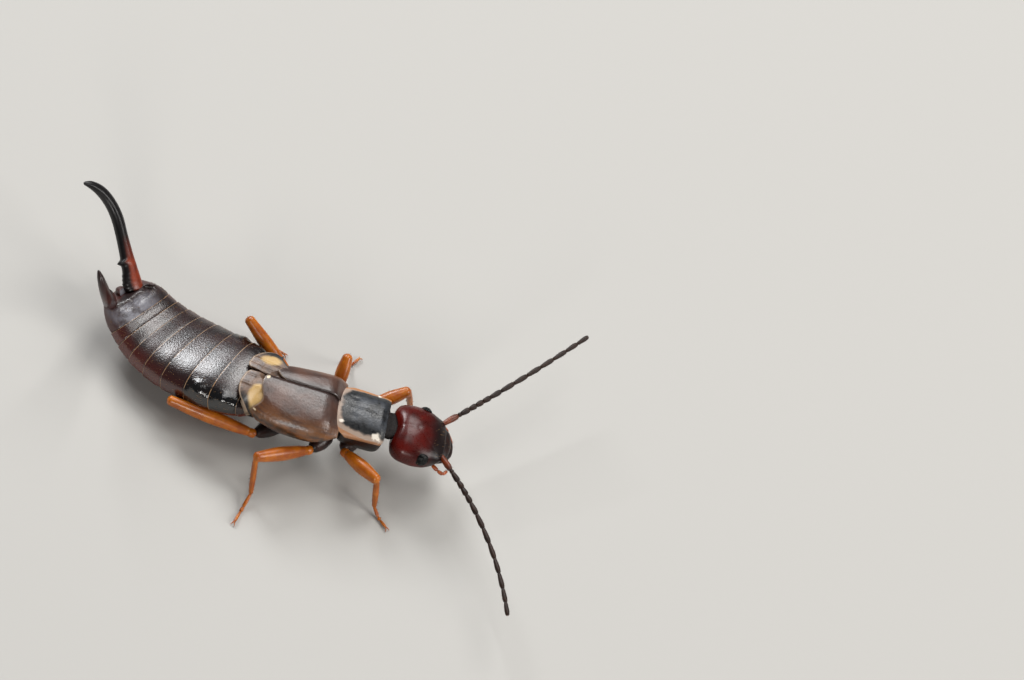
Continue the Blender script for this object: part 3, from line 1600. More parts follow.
@dataclass
class Head:
    """Head capsule with its crown seam, feeler sockets and cheeks."""

    wardrobe: Wardrobe
    knots: tuple[float, ...] = (-0.2, -0.12, 0.0, 0.25, 0.7, 1.1, 1.42, 1.68)
    halves: tuple[float, ...] = (0.64, 0.84, 0.98, 1.08, 1.12, 1.08, 0.93, 0.72)
    crests: tuple[float, ...] = (0.27, 0.37, 0.44, 0.52, 0.55, 0.5, 0.4, 0.27)
    keels: tuple[float, ...] = (0.34, 0.5, 0.62, 0.7, 0.72, 0.66, 0.56, 0.44)
    top_power: float = 2.15
    under_power: float = 2.8
    rows: int = 76
    points: int = 144

    def build(self) -> Piece:
        """Makes the capsule.

        Returns:
            The piece.
        """
        half_at, crest_at, keel_at = (curve(self.knots, w) for w in (self.halves, self.crests, self.keels))
        angles = around(self.points)
        back, front = self.knots[0], self.knots[-1]
        rings, coats = [], []
        rows = [(back + 0.05, 0.45), (back, 0.75), (back - 0.02, 0.9)]
        rows += [(float(x), 1.0) for x in np.linspace(back, front, self.rows)]
        rows += [(front + 0.03, 0.93), (front + 0.055, 0.8), (front + 0.065, 0.55)]
        for x, scale in rows:
            half, crest, keel = (float(at(x)) * scale for at in (half_at, crest_at, keel_at))
            local = section(angles, half, crest, keel, np.where(np.sin(angles) > 0, self.top_power, self.under_power))
            local[:, 0] = x
            local = self.sculpt(local, angles, x)
            local[:, 1] += HEAD_SHIFT
            rings.append(HEAD.place(local))
            face = 0.25 + 0.75 * smooth(1.1, 1.4, x)
            coats.append(smooth(0.1, 0.8, x) * smooth(-0.4, 0.0, np.sin(angles)) * face)
        plan = MeshPlan("head_capsule").loft(rings, coat=coats)
        return plan.build(self.wardrobe("head"), "head", "head_capsule")

    def sculpt(self, local: Array, angles: Array, x: float) -> Array:
        """Adds the notch behind, the crown seam, its two branches and the sockets' rims.

        Args:
            local: points of the section.
            angles: their angles.
            x: place along the head.

        Returns:
            The shaped points.
        """
        y, top = local[:, 1], (np.sin(angles) > 0).astype(float)
        local[:, 0] += 0.12 * blob(y, 0.45) * (1 - smooth(-0.2, 0.1, x))
        seam = 0.014 * blob(y, 0.04) * smooth(-0.1, 0.05, x) * (1 - smooth(0.3, 0.5, x))
        reach = 0.6 * smooth(0.42, 1.4, x)
        branch = 0.009 * blob(np.abs(y) - reach, 0.045) * smooth(0.45, 0.6, x) * (1 - smooth(1.2, 1.4, x))
        dent = 0.03 * blob(np.hypot(np.abs(y) - 0.42, x - 1.0), 0.26)
        crown = 0.02 * blob(np.hypot(np.abs(y) - 0.45, x - 0.35), 0.35)
        local[:, 2] += top * (crown - seam - branch - dent)
        socket = blob(np.hypot(np.hypot(np.abs(y) - 0.7, x - 1.52), local[:, 2] - 0.08), 0.17)
        local[:, 0] += 0.05 * socket
        local[:, 1] += 0.05 * socket * np.sign(y)
        orbit = blob(np.hypot(x - 1.05, local[:, 2] / 0.9), 0.26) * (np.abs(y) > 0.6)
        local[:, 1] -= 0.03 * orbit * np.sign(y)
        return local


@dataclass
class Eye:
    """Compound eye: a low oval dome whose facets are small domes of their own."""

    wardrobe: Wardrobe
    side: Side
    along: float = 0.95
    up: float = 0.08
    seat: float = 0.92
    half_length: float = 0.25
    half_height: float = 0.29
    bulge: float = 0.23
    facet: float = 0.014
    rows: int = 13
    points: int = 34

    def build(self) -> Piece:
        """Makes the eye.

        Returns:
            The piece.
        """
        dome = self.dome()
        covered = Facets(self.facet).cover(dome, self.wardrobe("eye"))
        return settle(covered, [f"eye_{self.side.word}"], "eye")

    def dome(self) -> Piece:
        """Makes the smooth dome.

        Returns:
            An object that isn't on the frame yet.
        """
        s = self.side.value
        phi = np.linspace(0, 2 * np.pi, self.points, endpoint=False)
        rings = []
        for row, rise in enumerate(np.sin(np.linspace(0, np.pi / 2 * 0.97, self.rows))):
            shrink = np.sqrt(1 - rise**2)
            turned = phi + (row % 2) * np.pi / self.points
            x = self.along + self.half_length * shrink * np.cos(turned)
            z = self.up + self.half_height * shrink * np.sin(turned)
            y = np.full_like(x, s * (self.seat + self.bulge * rise) + HEAD_SHIFT)
            rings.append(HEAD.place(np.stack((x, y, z), axis=1)))
        plan = MeshPlan(f"eye_{self.side.word}_facets").loft(rings)
        mesh = plan.mesh()
        mesh.update()
        return put(plan.name, mesh)


@dataclass
class Mouthparts:
    """Clypeus, upper lip, jaws and lower lip in one piece in front of the face."""

    wardrobe: Wardrobe
    points: int = 48
    lobes: tuple[tuple[Point, Point, float, float, float, float], ...] = (
        ((1.42, -0.06, 0.0), (2.02, -0.07, -0.08), 0.72, 0.6, 0.23, 0.28),
        ((1.88, -0.07, -0.14), (2.16, -0.07, -0.24), 0.48, 0.36, 0.11, 0.1),
        ((1.5, 0.34, -0.28), (2.1, 0.17, -0.36), 0.3, 0.16, 0.17, 0.14),
        ((1.5, -0.46, -0.28), (2.1, -0.3, -0.36), 0.32, 0.18, 0.18, 0.16),
        ((1.3, -0.05, -0.5), (2.0, -0.05, -0.58), 0.46, 0.3, 0.13, 0.13),
    )

    def build(self) -> Piece:
        """Makes the piece.

        Returns:
            The piece.
        """
        plan = MeshPlan("mouthparts_group")
        for start, end, *sizes in self.lobes:
            plan.loft(HEAD.place(self.lobe(np.array(start), np.array(end), *sizes)), coat=0.5)
        return plan.build(self.wardrobe("mouth"), "mouthparts", "mouthparts")

    def lobe(self, start: Array, end: Array, half: float, end_half: float, crest: float, keel: float) -> Array:
        """Rounded lobe from one point to another, in the head's frame.

        Args:
            start: middle of its root.
            end: middle of its tip.
            half: half width at the root.
            end_half: half width at the tip.
            crest: half thickness above.
            keel: half thickness below.

        Returns:
            Rings of points.
        """
        angles = around(self.points)
        matrix = axis_frame(end - start)
        length = np.linalg.norm(end - start)
        rings = []
        for t in np.sin(np.linspace(0, np.pi / 2, 16)):
            close = (1 - t**5) ** 0.5 if t < 1 else 0.05
            close = max(close, 0.05)
            local = section(angles, (half + (end_half - half) * t) * close, crest * close, keel * close, 2.2)
            local[:, 0] = t * length
            rings.append(local @ matrix.T + start)
        return np.array(rings)


@dataclass
class JointedRod:
    """A chain of slim rounded segments along a path, used for palps."""

    wardrobe: Wardrobe
    name: str
    path: tuple[Point, ...]
    radii: tuple[float, ...]
    look: str
    node: str
    slot: str
    points: int = 20

    def build(self) -> Piece:
        """Makes the chain, in the head's frame.

        Returns:
            The piece.
        """
        plan = MeshPlan(self.name)
        for a, b, radius in zip(self.path, self.path[1:], self.radii):
            start, end = HEAD.place(np.array(a)), HEAD.place(np.array(b))
            plan.loft(segment(start, end, radius * 0.7, radius, radius * 0.78, self.points), coat=1.0)
        return plan.build(self.wardrobe(self.look), self.node, self.slot)


def segment(
    start: Array,
    end: Array,
    root: float,
    swell: float,
    tip: float,
    points: int = 24,
    flat: float = 1.0,
    peak: float = 0.62,
    rows: int = 16,
) -> Array:
    """Rings of one rounded limb segment.

    Args:
        start: its root.
        end: its tip.
        root: radius near the root.
        swell: largest radius.
        tip: radius near the tip.
        points: points round it.
        flat: sideways radius as a share of the upright one.
        peak: share of the length with the largest radius.
        rows: rows along it.

    Returns:
        Rings by points by 3.
    """
    direction = end - start
    length = float(np.linalg.norm(direction))
    matrix = axis_frame(direction)
    radius_at = curve((0.0, peak * 0.45, peak, 1.0), (root, (root + 2 * swell) / 3, swell, tip))
    phi = around(points)
    rings = []
    for t in (1 - np.cos(np.linspace(0, np.pi, rows))) / 2:
        cap = max(min(length * 0.5, swell), 1e-6)
        ends = min(t, 1 - t) * length / cap
        close = np.sqrt(max(1 - (1 - min(ends * 2.2, 1.0)) ** 2, 0.02))
        radius = float(radius_at(t)) * close
        local = np.stack((np.full(points, t * length), flat * radius * np.cos(phi), radius * np.sin(phi)), axis=1)
        rings.append(local @ matrix.T + start)
    return np.array(rings)


@dataclass
class Feeler:
    """Antenna of fourteen joints: scape, pedicel and twelve more, downy and dark."""

    wardrobe: Wardrobe
    side: Side
    at: Point
    heading: float
    turning: float
    climb: float
    droop: float
    length: float
    scape_length: float = 0.62
    scape_radius: float = 0.115
    radius: float = 0.105
    tip_radius: float = 0.085
    shares: tuple[float, ...] = (0.13, 0.4, 0.3, 0.31, 0.34, 0.5, 0.6, 0.62, 0.64, 0.6, 0.62, 0.55, 0.52)

    def direction(self, share: float) -> Array:
        """Direction of the feeler at a share of its length past the scape."""
        yaw = np.radians(self.heading + self.turning * share)
        rise = np.radians(self.climb + self.droop * share)
        return np.array((np.cos(yaw) * np.cos(rise), np.sin(yaw) * np.cos(rise), np.sin(rise)))

    def build(self) -> list[Piece]:
        """Makes the scape and the lash.

        Returns:
            The two pieces.
        """
        word = self.side.word
        start = np.array(self.at) - self.direction(0) * 0.1
        end = np.array(self.at) + self.direction(0) * self.scape_length
        scape = MeshPlan(f"feeler_{word}_root").loft(
            segment(start, end, 0.07, self.scape_radius, 0.085, peak=0.7, rows=26), coat=0.7
        )
        pieces = [scape.build(self.wardrobe("scape"), f"antenna_{word}_scape", "scape")]
        plan = MeshPlan(f"feeler_{word}_joints")
        lengths = np.array(self.shares) * (self.length / sum(self.shares))
        walked, at = 0.0, end - self.direction(0) * 0.01
        for number, length in enumerate(lengths):
            share = (walked + length / 2) / self.length
            stop = at + self.direction(share) * length
            radius = self.radius + (self.tip_radius - self.radius) * share
            if number == 0:
                radius *= 0.8
            lap = self.direction(share) * 0.012
            rings = segment(at - lap, stop + lap, radius * 0.62, radius, radius * 0.72, 20, peak=0.7, rows=18)
            plan.loft(rings, coat=1.0, v_span=(number + 0.001, number + 0.999))
            walked, at = walked + length, stop
        pieces.append(plan.build(self.wardrobe("feeler"), f"antenna_{word}_lash", "feeler"))
        return pieces


# ---------------------------------------------------------------- legs


@dataclass
class Leg:
    """One leg from hip to claws, with true thicknesses."""

    wardrobe: Wardrobe
    name: str
    hip: Point
    root: Point
    knee: Point
    ankle: Point
    toe: Point
    thigh: float = 0.275
    shin: float = 0.118
    foot: float = 0.062
    ankle_level: float = 0.24
    claw: float = 0.17
    claw_radius: float = 0.024
    claw_tip: float = 0.004
    foot_radii: tuple[Point, Point, Point] = ((0.05, 0.062, 0.05), (0.045, 0.066, 0.05), (0.036, 0.052, 0.042))

    def build(self) -> list[Piece]:
        """Makes the four pieces.

        Returns:
            Hip, thigh, shin and foot.
        """
        hip, root, knee, ankle, toe = (np.array(p) for p in (self.hip, self.root, self.knee, self.ankle, self.toe))
        coxa = MeshPlan(f"{self.name}_hip")
        coxa.loft(segment(hip - (root - hip) * 0.7, root, 0.3, 0.33, 0.17, 32, peak=0.4), coat=0.3)
        pieces = [coxa.build(self.wardrobe("hip"), f"{self.name}_coxa", "dark_side_plate")]
        thigh_way = (knee - root) / np.linalg.norm(knee - root)
        thigh = MeshPlan(f"{self.name}_thigh")
        thigh.loft(segment(root - thigh_way * 0.06, root + thigh_way * 0.3, 0.12, 0.17, 0.14, 32, peak=0.5), coat=0.3)
        thick = segment(root + thigh_way * 0.16, knee + thigh_way * 0.08, 0.17, self.thigh, 0.185, 40, 0.9, 0.5, 34)
        thigh.loft(thick, coat=0.4)
        pieces.append(thigh.build(self.wardrobe("leg"), f"{self.name}_femur", "leg"))
        ankle_top = ankle.copy()
        ankle_top[2] = max(ankle[2], self.ankle_level)
        shin_way = (ankle_top - knee) / np.linalg.norm(ankle_top - knee)
        shin = MeshPlan(f"{self.name}_shin")
        shin.loft(segment(knee - shin_way * 0.04, ankle_top, 0.09, self.shin, 0.085, 28, 0.9, 0.5, 30), coat=1.0)
        for spread in (-1, 1):
            spur_end = ankle_top + shin_way * 0.1 + np.cross(shin_way, (0.0, 0.0, 1.0)) * 0.08 * spread
            shin.loft(segment(ankle_top - shin_way * 0.04, spur_end, 0.02, 0.02, 0.006, 10, rows=8), coat=0.0)
        pieces.append(shin.build(self.wardrobe("leg"), f"{self.name}_tibia", "leg"))
        pieces.append(self.build_foot(ankle_top, toe))
        return pieces

    def build_foot(self, ankle: Array, toe: Array) -> Piece:
        """Makes the three foot joints and the two claws.

        Args:
            ankle: end of the shin.
            toe: end of the foot.

        Returns:
            The piece.
        """
        low = FLOOR_LEVEL + self.foot + 0.012
        end = np.array((toe[0], toe[1], low + 0.02))
        way = end - ankle
        way[2] = 0
        span = np.linalg.norm(way)
        way = way / span
        side = np.cross((0.0, 0.0, 1.0), way)
        stops = [ankle]
        for share, level in ((0.42, low + 0.015), (0.58, low), (1.0, low + 0.03)):
            stop = ankle + way * span * share
            stop[2] = level
            stops.append(stop)
        plan = MeshPlan(f"{self.name}_foot")
        above = smooth(-0.1, 0.5, np.sin(around(20)))
        for start, stop, radii in zip(stops, stops[1:], self.foot_radii):
            plan.loft(segment(start, stop, *radii, 20, 1.05, 0.65, 16), coat=above)
        for spread in (-1, 1):
            plan.loft(self.hook(stops[-1], way, side * spread), coat=0.0)
        return plan.build(self.wardrobe("leg"), f"{self.name}_tarsus", "leg")

    def hook(self, at: Array, way: Array, side: Array) -> Array:
        """Rings of one claw, curved down to the floor.

        Args:
            at: end of the last foot joint.
            way: level direction of the foot.
            side: level direction the claw spreads to.

        Returns:
            Rings by points by 3.
        """
        phi = np.linspace(0, 2 * np.pi, 10, endpoint=False)
        drop = at[2] - FLOOR_LEVEL - 0.014
        rings = []
        steps = np.linspace(0, 1, 12)
        path = []
        for t in steps:
            height = np.array((0, 0, 0.02 * np.sin(np.pi * t) - drop * t**1.6))
            path.append(at - way * 0.02 + way * self.claw * np.sin(t * 1.35) + side * self.claw * 0.5 * t + height)
        for i, t in enumerate(steps):
            tangent = path[min(i + 1, 11)] - path[max(i - 1, 0)]
            matrix = axis_frame(tangent)
            radius = self.claw_radius * (1 - t) ** 0.7 + self.claw_tip
            local = np.stack((np.zeros(10), radius * np.cos(phi), radius * np.sin(phi)), axis=1)
            rings.append(local @ matrix.T + path[i])
        return np.array(rings)


# ---------------------------------------------------------------- what repeats


class TreeMaker:
    """Base of the Geometry Nodes trees: makes the interface, and applies the tree to a mesh."""

    def __init__(self, name: str, sockets: dict[str, str]) -> None:
        """Makes an empty tree.

        Args:
            name: tree name.
            sockets: socket type of each named input.
        """
        self.tree = bpy.data.node_groups.new(name, "GeometryNodeTree")
        face = self.tree.interface
        face.new_socket("Surface", in_out="INPUT", socket_type="NodeSocketGeometry")
        self.ids = {}
        for key, kind in sockets.items():
            self.ids[key] = face.new_socket(key, in_out="INPUT", socket_type=kind).identifier
        face.new_socket("Result", in_out="OUTPUT", socket_type="NodeSocketGeometry")
        self.source = add_node(self.tree, "NodeGroupInput").node

    def given(self, name: str) -> Socket:
        """The tree's own input of that name."""
        return self.source.outputs[name]

    def finish(self, geometry: Socket) -> None:
        """Ends the tree with real meshes in their material.

        Args:
            geometry: instances or meshes to show.
        """
        real = add_node(self.tree, "GeometryNodeRealizeInstances", {0: geometry})
        painted = add_node(self.tree, "GeometryNodeSetMaterial", {0: real, "Material": self.given("Material")})
        add_node(self.tree, "NodeGroupOutput", {0: painted})

    def apply(self, surface: Piece, values: dict[str, object], name: str) -> Mesh:
        """Runs the tree on a surface.

        Args:
            surface: object whose mesh it works on; left as it was.
            values: value of each named input.
            name: name of the new mesh.

        Returns:
            A plain mesh.
        """
        modifier = surface.modifiers.new("repeat", "NODES")
        modifier.node_group = self.tree
        for key, value in values.items():
            modifier[self.ids[key]] = value
        surface.update_tag()
        bpy.context.view_layer.update()
        seen = surface.evaluated_get(bpy.context.evaluated_depsgraph_get())
        mesh = bpy.data.meshes.new_from_object(seen)
        mesh.name = name
        surface.modifiers.remove(modifier)
        return mesh


class Facets:
    """Covers an eye's dome with small round facets, one on each of its points."""

    def __init__(self, radius_mm: float) -> None:
        """Keeps the facet's radius in millimetres."""
        self.radius_mm = radius_mm

    def cover(self, dome: Piece, look: Look) -> Piece:
        """Makes the covered eye.

        Args:
            dome: smooth dome, used up by this.
            look: eye material.

        Returns:
            The new object.
        """
        maker = TreeMaker("eye_facets", {"Radius": "NodeSocketFloat", "Material": "NodeSocketMaterial"})
        tree, surface = maker.tree, maker.given("Surface")
        lens = add_node(tree, "GeometryNodeMeshIcoSphere", {"Radius": maker.given("Radius"), "Subdivisions": 2})
        placed = add_node(tree, "GeometryNodeInstanceOnPoints", {"Points": surface, "Instance": lens})
        maker.finish(add_node(tree, "GeometryNodeJoinGeometry", {0: [surface, placed]}))
        name = dome.name
        mesh = maker.apply(dome, {"Radius": self.radius_mm * MM, "Material": look}, name)
        bpy.data.objects.remove(dome)
        mesh.polygons.foreach_set("use_smooth", np.ones(len(mesh.polygons), bool))
        if not mesh.materials:
            mesh.materials.append(look)
        return put(name, mesh)


@dataclass
class SetaCoat:
    """Fine bristles that grow from a group of pieces and lie back along them."""

    wardrobe: Wardrobe
    name: str
    slot: str
    density: float
    length: float
    width: float
    tilt: float
    seed: int
    look: str = "seta"
    scatter: float = 0.25
    sides: int = 3
    patch_side: float = 0.003
    size_range: tuple[float, float] = (0.6, 1.25)

    def grow(self, skins: Sequence[Piece]) -> Piece:
        """Makes the coat.

        Args:
            skins: pieces it grows from.

        Returns:
            The coat piece, with its OFBake map.
        """
        maker = self.tree()
        cells = int(np.ceil(np.sqrt(len(skins))))
        meshes = []
        for number, skin in enumerate(skins):
            values = {
                "Density": self.density / MM**2,
                "Length": self.length * MM,
                "Width": self.width * MM,
                "Tilt": self.tilt,
                "Scatter": self.scatter,
                "Seed": self.seed + number,
                "Material": self.wardrobe(self.look),
            }
            mesh = maker.apply(skin, values, f"{self.name}_{number}")
            if len(mesh.polygons):
                self.map_roots(mesh, number, cells)
                meshes.append(mesh)
        return settle(self.join(meshes), [], self.slot)

    def tree(self) -> TreeMaker:
        """Builds the tree that plants one bristle on each random point.

        Returns:
            The finished tree.
        """
        kinds = dict.fromkeys(("Density", "Length", "Width", "Tilt", "Scatter"), "NodeSocketFloat")
        kinds |= {"Seed": "NodeSocketInt", "Material": "NodeSocketMaterial"}
        maker = TreeMaker(f"{self.name}_bristles", kinds)
        tree, seed = maker.tree, maker.given("Seed")
        patchy = add_node(tree, "GeometryNodeInputNamedAttribute", {"Name": "coat"}, data_type="FLOAT")
        amount = add_node(tree, "ShaderNodeMath", {0: maker.given("Density"), 1: patchy}, operation="MULTIPLY")
        skin = {"Mesh": maker.given("Surface"), "Density": amount, "Seed": seed}
        spots = add_node(tree, "GeometryNodeDistributePointsOnFaces", skin)
        lie = add_node(tree, "GeometryNodeInputNamedAttribute", {"Name": "lie"}, data_type="FLOAT_VECTOR")
        stray = {0: (-1, -1, -1), 1: (1, 1, 1), "Seed": seed}
        stray = add_node(tree, "FunctionNodeRandomValue", stray, data_type="FLOAT_VECTOR")
        way = spots.node.outputs["Normal"]
        for lean, share in ((lie, "Tilt"), (stray, "Scatter")):
            scaled = {0: lean, "Scale": maker.given(share)}
            scaled = add_node(tree, "ShaderNodeVectorMath", scaled, operation="SCALE")
            way = add_node(tree, "ShaderNodeVectorMath", {0: way, 1: scaled}, operation="ADD")
        turned = add_node(tree, "FunctionNodeAlignRotationToVector", {"Vector": way}, axis="Z")
        half = add_node(tree, "ShaderNodeMath", {0: maker.given("Width"), 1: 0.5}, operation="MULTIPLY")
        cone = {"Vertices": self.sides, "Side Segments": 2, "Depth": maker.given("Length")}
        cone |= {"Radius Top": 0.0, "Radius Bottom": half}
        bristle = add_node(tree, "GeometryNodeMeshCone", cone)
        sizes = {2: self.size_range[0], 3: self.size_range[1], "Seed": seed}
        size = add_node(tree, "FunctionNodeRandomValue", sizes, out=1, data_type="FLOAT")
        plant = {"Points": spots, "Instance": bristle, "Rotation": turned, "Scale": size}
        maker.finish(add_node(tree, "GeometryNodeInstanceOnPoints", plant))
        return maker

    def map_roots(self, mesh: Mesh, number: int, cells: int) -> None:
        """Gives each bristle a small patch at its root's place on the skin's unwrap.

        Args:
            mesh: bristles of one skin.
            number: number of that skin, which picks its cell of the map.
            cells: cells along each side of the map.
        """
        roots = np.zeros(len(mesh.vertices) * 3, np.float32)
        mesh.attributes["skin_uv"].data.foreach_get("vector", roots)
        roots = roots.reshape(-1, 3)[:, :2] % 1.0
        points = np.zeros(len(mesh.loops), np.int32)
        mesh.loops.foreach_get("vertex_index", points)
        cell = np.array((number % cells, number // cells))
        patch = np.stack((points % 3, points // 3 % 3), axis=1) / 2 * self.patch_side
        uv = (cell + 0.02 + 0.95 * roots[points]) / cells + patch
        while mesh.uv_layers:
            mesh.uv_layers.remove(mesh.uv_layers[0])
        layer = mesh.uv_layers.new(name="OFBake")
        layer.data.foreach_set("uv", uv.astype(np.float32).reshape(-1))

    def join(self, meshes: Sequence[Mesh]) -> Piece:
        """Joins the bristles of all skins.

        Args:
            meshes: one mesh per skin.

        Returns:
            One object.
        """
        points, faces, uvs, start = [], [], [], 0
        for mesh in meshes:
            co = np.zeros(len(mesh.vertices) * 3, np.float32)
            mesh.vertices.foreach_get("co", co)
            points.append(co.reshape(-1, 3))
            faces += [tuple(start + i for i in p.vertices) for p in mesh.polygons]
            uv = np.zeros(len(mesh.loops) * 2, np.float32)
            mesh.uv_layers["OFBake"].data.foreach_get("uv", uv)
            uvs.append(uv)
            start += len(mesh.vertices)
            bpy.data.meshes.remove(mesh)
        joined = bpy.data.meshes.new(self.name)
        joined.from_pydata(np.vstack(points).tolist(), [], faces)
        layer = joined.uv_layers.new(name="OFBake")
        layer.data.foreach_set("uv", np.concatenate(uvs))
        joined.polygons.foreach_set("use_smooth", np.ones(len(faces), bool))
        joined.materials.append(self.wardrobe(self.look))
        joined.update()
        return put(self.name, joined)


# ---------------------------------------------------------------- studio


@dataclass
class Studio:
    """Pale floor, soft lights and the camera at the photograph's angle."""

    azimuth: float = -11.08455
    elevation: float = 54.09386
    roll: float = 24.71281
    distance: float = 200.0
    target: Point = (8.353671, 3.701256, 3.792725)
    lens: float = 200.39
    sensor: float = 36.0
    clip: tuple[float, float] = (0.01, 5.0)
    floor_half: float = 0.6
    air_colour: Colour = (0.9, 0.94, 1.0, 1.0)
    air_strength: float = 0.1
    looked_at: Point = (0.0, 0.0, 0.002)
    panels: tuple[tuple[str, Point, float, float, Point], ...] = (
        ("sky_panel", (0.04, 0.16, 0.235), 0.12, 0.4, (1.0, 0.99, 0.97)),
        ("zenith_panel", (0.02, 0.02, 0.26), 0.11, 0.14, (1.0, 0.99, 0.97)),
        ("back_panel", (-0.15, 0.21, 0.18), 0.11, 0.74, (0.97, 0.985, 1.0)),
        ("front_panel", (0.23, -0.06, 0.15), 0.12, 0.42, (1.0, 0.98, 0.95)),
        ("camera_fill", (0.0, -0.28, 0.12), 0.07, 0.3, (1.0, 0.97, 0.93)),
    )

    def build(self) -> None:
        """Makes the floor, the lights, the world and the camera."""
        mesh = bpy.data.meshes.new("floor")
        h = self.floor_half
        mesh.from_pydata([(-h, -h, 0), (h, -h, 0), (h, h, 0), (-h, h, 0)], [], [(0, 1, 2, 3)])
        mesh.materials.append(FloorPaint().build())
        floor = put("floor", mesh)
        floor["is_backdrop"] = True
        self.camera()
        for panel in self.panels:
            self.light(*panel)
        world = bpy.data.worlds.new("studio_air")
        world.use_nodes = True
        air = world.node_tree.nodes["Background"]
        air.inputs["Color"].default_value = self.air_colour
        air.inputs["Strength"].default_value = self.air_strength
        bpy.context.scene.world = world
        bpy.context.scene.view_settings.view_transform = "Standard"

    def camera(self) -> None:
        """Makes the camera and frames the insect as the photograph does."""
        az, el, roll = (np.radians(a) for a in (self.azimuth, self.elevation, self.roll))
        back = np.array((np.sin(az) * np.cos(el), -np.cos(az) * np.cos(el), np.sin(el)))
        level = np.array((np.cos(az), np.sin(az), 0.0))
        upright = np.cross(back, level)
        right = np.cos(roll) * level + np.sin(roll) * upright
        up = np.cross(back, right)
        at = (np.array(self.target) - ORIGIN + back * self.distance) * MM
        data = bpy.data.cameras.new("camera")
        data.lens = self.lens
        data.sensor_width = self.sensor
        data.clip_start, data.clip_end = self.clip
        camera = put("camera", data)
        matrix = np.eye(4)
        matrix[:3, 0], matrix[:3, 1], matrix[:3, 2], matrix[:3, 3] = right, up, back, at
        camera.matrix_world = Matrix(matrix.tolist())
        bpy.context.scene.camera = camera

    def light(self, name: str, at: Point, size: float, power: float, colour: Point) -> None:
        """Adds a square soft light that looks at the insect.

        Args:
            name: its name.
            at: its place in metres.
            size: its side in metres.
            power: its power in watts.
            colour: linear colour.
        """
        data = bpy.data.lights.new(name, "AREA")
        data.size = size
        data.energy = power
        data.color = colour
        lamp = put(name, data)
        lamp.location = at
        lamp.rotation_euler = (Vector(self.looked_at) - Vector(at)).to_track_quat("-Z", "Y").to_euler()


# Name, hip, root, knee, ankle and toe of each leg.
LEGS: tuple[tuple[str, Point, Point, Point, Point, Point], ...] = (
    ("leg_front_right", (3.78, -0.6, 1.22), (3.62, -1.0, 1.22),
     (4.95, -2.11, 1.7), (5.2, -2.3, 0.32), (5.76, -2.86, 0.1)),
    ("leg_front_left", (3.9, 0.6, 1.22), (4.02, 0.95, 1.22),
     (5.39, 1.8, 1.8), (5.75, 2.1, 0.32), (6.4, 2.2, 0.1)),
    ("leg_mid_right", (2.8, -0.78, 1.16), (2.52, -1.3, 1.2),
     (0.65, -2.6, 1.8), (0.88, -3.15, 0.32), (0.56, -4.3, 0.1)),
    ("leg_mid_left", (2.8, 0.78, 1.16), (2.92, 1.16, 1.16),
     (2.99, 2.26, 2.2), (3.22, 3.15, 0.4), (3.6, 3.7, 0.1)),
    ("leg_hind_right", (0.98, -0.72, 1.02), (0.5, -1.16, 1.0),
     (-2.7, -0.99, 1.38), (-1.98, -0.5, 0.32), (-0.95, -0.1, 0.1)),
    ("leg_hind_left", (1.3, 0.78, 1.05), (1.45, 1.25, 1.12),
     (-0.72, 2.44, 2.5), (0.04, 3.35, 0.32), (0.95, 3.05, 0.1)),
)
PALP_RIGHT = (
    (1.46, -0.62, -0.34), (1.56, -0.74, -0.44), (1.8, -0.86, -0.5), (2.02, -0.94, -0.52), (2.16, -0.74, -0.52)
)
PALP_LEFT = ((1.46, 0.62, -0.34), (1.6, 0.86, -0.4), (1.8, 0.96, -0.42), (2.0, 0.78, -0.44), (2.2, 0.36, -0.46))
PALP_RADII = (0.06, 0.075, 0.07, 0.06)


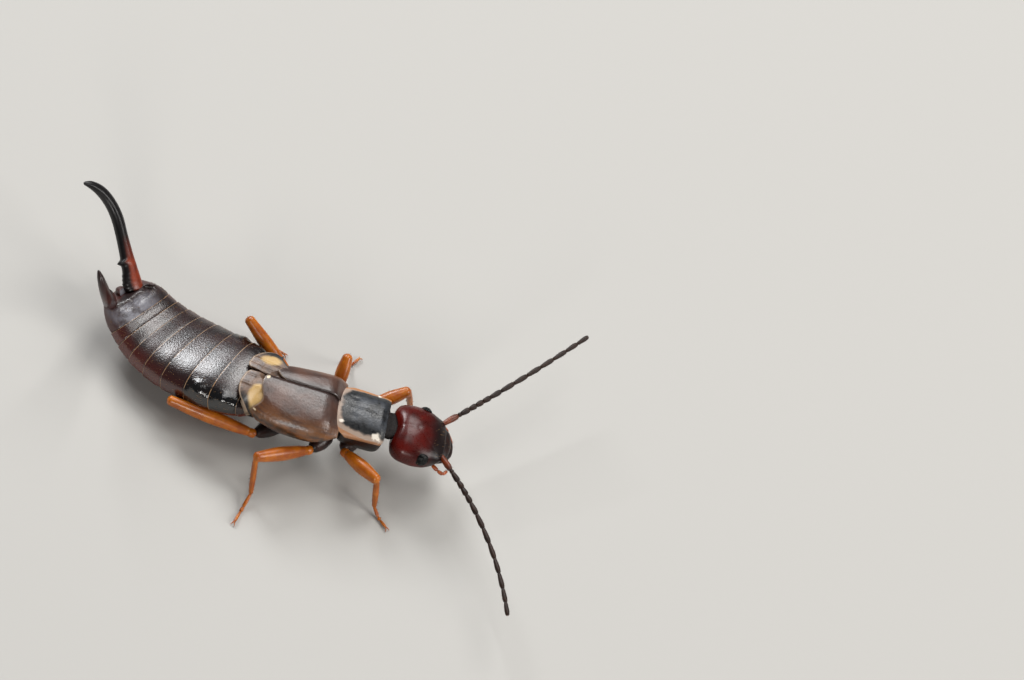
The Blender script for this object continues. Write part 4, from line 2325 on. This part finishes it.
def main() -> None:
    """Builds the insect from tail to feelers, then its bristles, then the studio."""
    logging.basicConfig(level=logging.INFO, format="%(name)s %(message)s")
    wardrobe = Wardrobe()
    rings = Abdomen(wardrobe).build()
    tail = Tail(wardrobe).build()
    Pincer(wardrobe, Side.RIGHT, (-0.16, -0.96, 0.0), 40.9, -0.9, -49.6, 3.88, "pincer_near", 0.92, 0.12).build()
    Pincer(wardrobe, Side.LEFT, (-0.12, 0.22, 0.03), -4.6, -17.0, -1.5).build()
    Thorax(wardrobe).build()
    Pronotum(wardrobe).build()
    left_halves = (0.98, 1.07, 1.04, 0.99, 0.94, 0.9)
    left_scoop = (0.5, 0.62, 0.34)
    left = {"halves": left_halves, "inner_corner": 0.42, "outer_corner": 0.95, "scoop": left_scoop, "lift": 0.02}
    WingCover(wardrobe, Side.LEFT, -0.46, **left).build()
    WingCover(wardrobe, Side.RIGHT, -0.18, inner_corner=0.1, beads=((0.02, 0.97), (0.56, 0.975))).build()
    left = {"half": 1.08, "cover_half": 0.9, "scoop": left_scoop, "spot_share": 0.9}
    FoldedWing(wardrobe, Side.LEFT, -0.46, 0.52, (-0.13, 0.62), (0.46, 0.26), **left).build()
    FoldedWing(wardrobe, Side.RIGHT, -0.18, 0.38, (-0.24, 0.86), (0.24, 0.44)).build()
    head = Head(wardrobe).build()
    for side in Side:
        Eye(wardrobe, side, along=0.95 if side is Side.RIGHT else 0.89).build()
    mouth = Mouthparts(wardrobe).build()
    palps = [
        JointedRod(wardrobe, f"palp_{side.word}_joints", path, PALP_RADII, "palp", f"palp_{side.word}", "palp").build()
        for side, path in ((Side.LEFT, PALP_LEFT), (Side.RIGHT, PALP_RIGHT))
    ]
    feelers = Feeler(wardrobe, Side.RIGHT, (6.98, -0.52, 1.82), -48, -25, 2, -4, 6.0).build()
    feelers += Feeler(wardrobe, Side.LEFT, (6.84, 0.86, 1.82), 46, 4, 5, 2, 5.9).build()
    limbs = [piece for row in LEGS for piece in Leg(wardrobe, *row).build()]
    SetaCoat(wardrobe, "ring_bristles", "tergite", 50, 0.08, 0.009, 1.6, 11).grow(rings + tail)
    SetaCoat(wardrobe, "feeler_down", "feeler", 160, 0.055, 0.008, 1.2, 23, look="dark_seta").grow(feelers)
    SetaCoat(wardrobe, "leg_bristles", "leg", 60, 0.08, 0.010, 0.8, 37, look="dark_seta").grow(limbs)
    SetaCoat(wardrobe, "face_bristles", "head_capsule", 22, 0.09, 0.011, 0.6, 41).grow([head, mouth] + palps)
    Studio().build()
    boxes = {"cad": CAD_BOX, "visual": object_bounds()}
    {key: [[float(c) for c in corner] for corner in box] for key, box in boxes.items()}


if __name__ == "__main__":
    main()
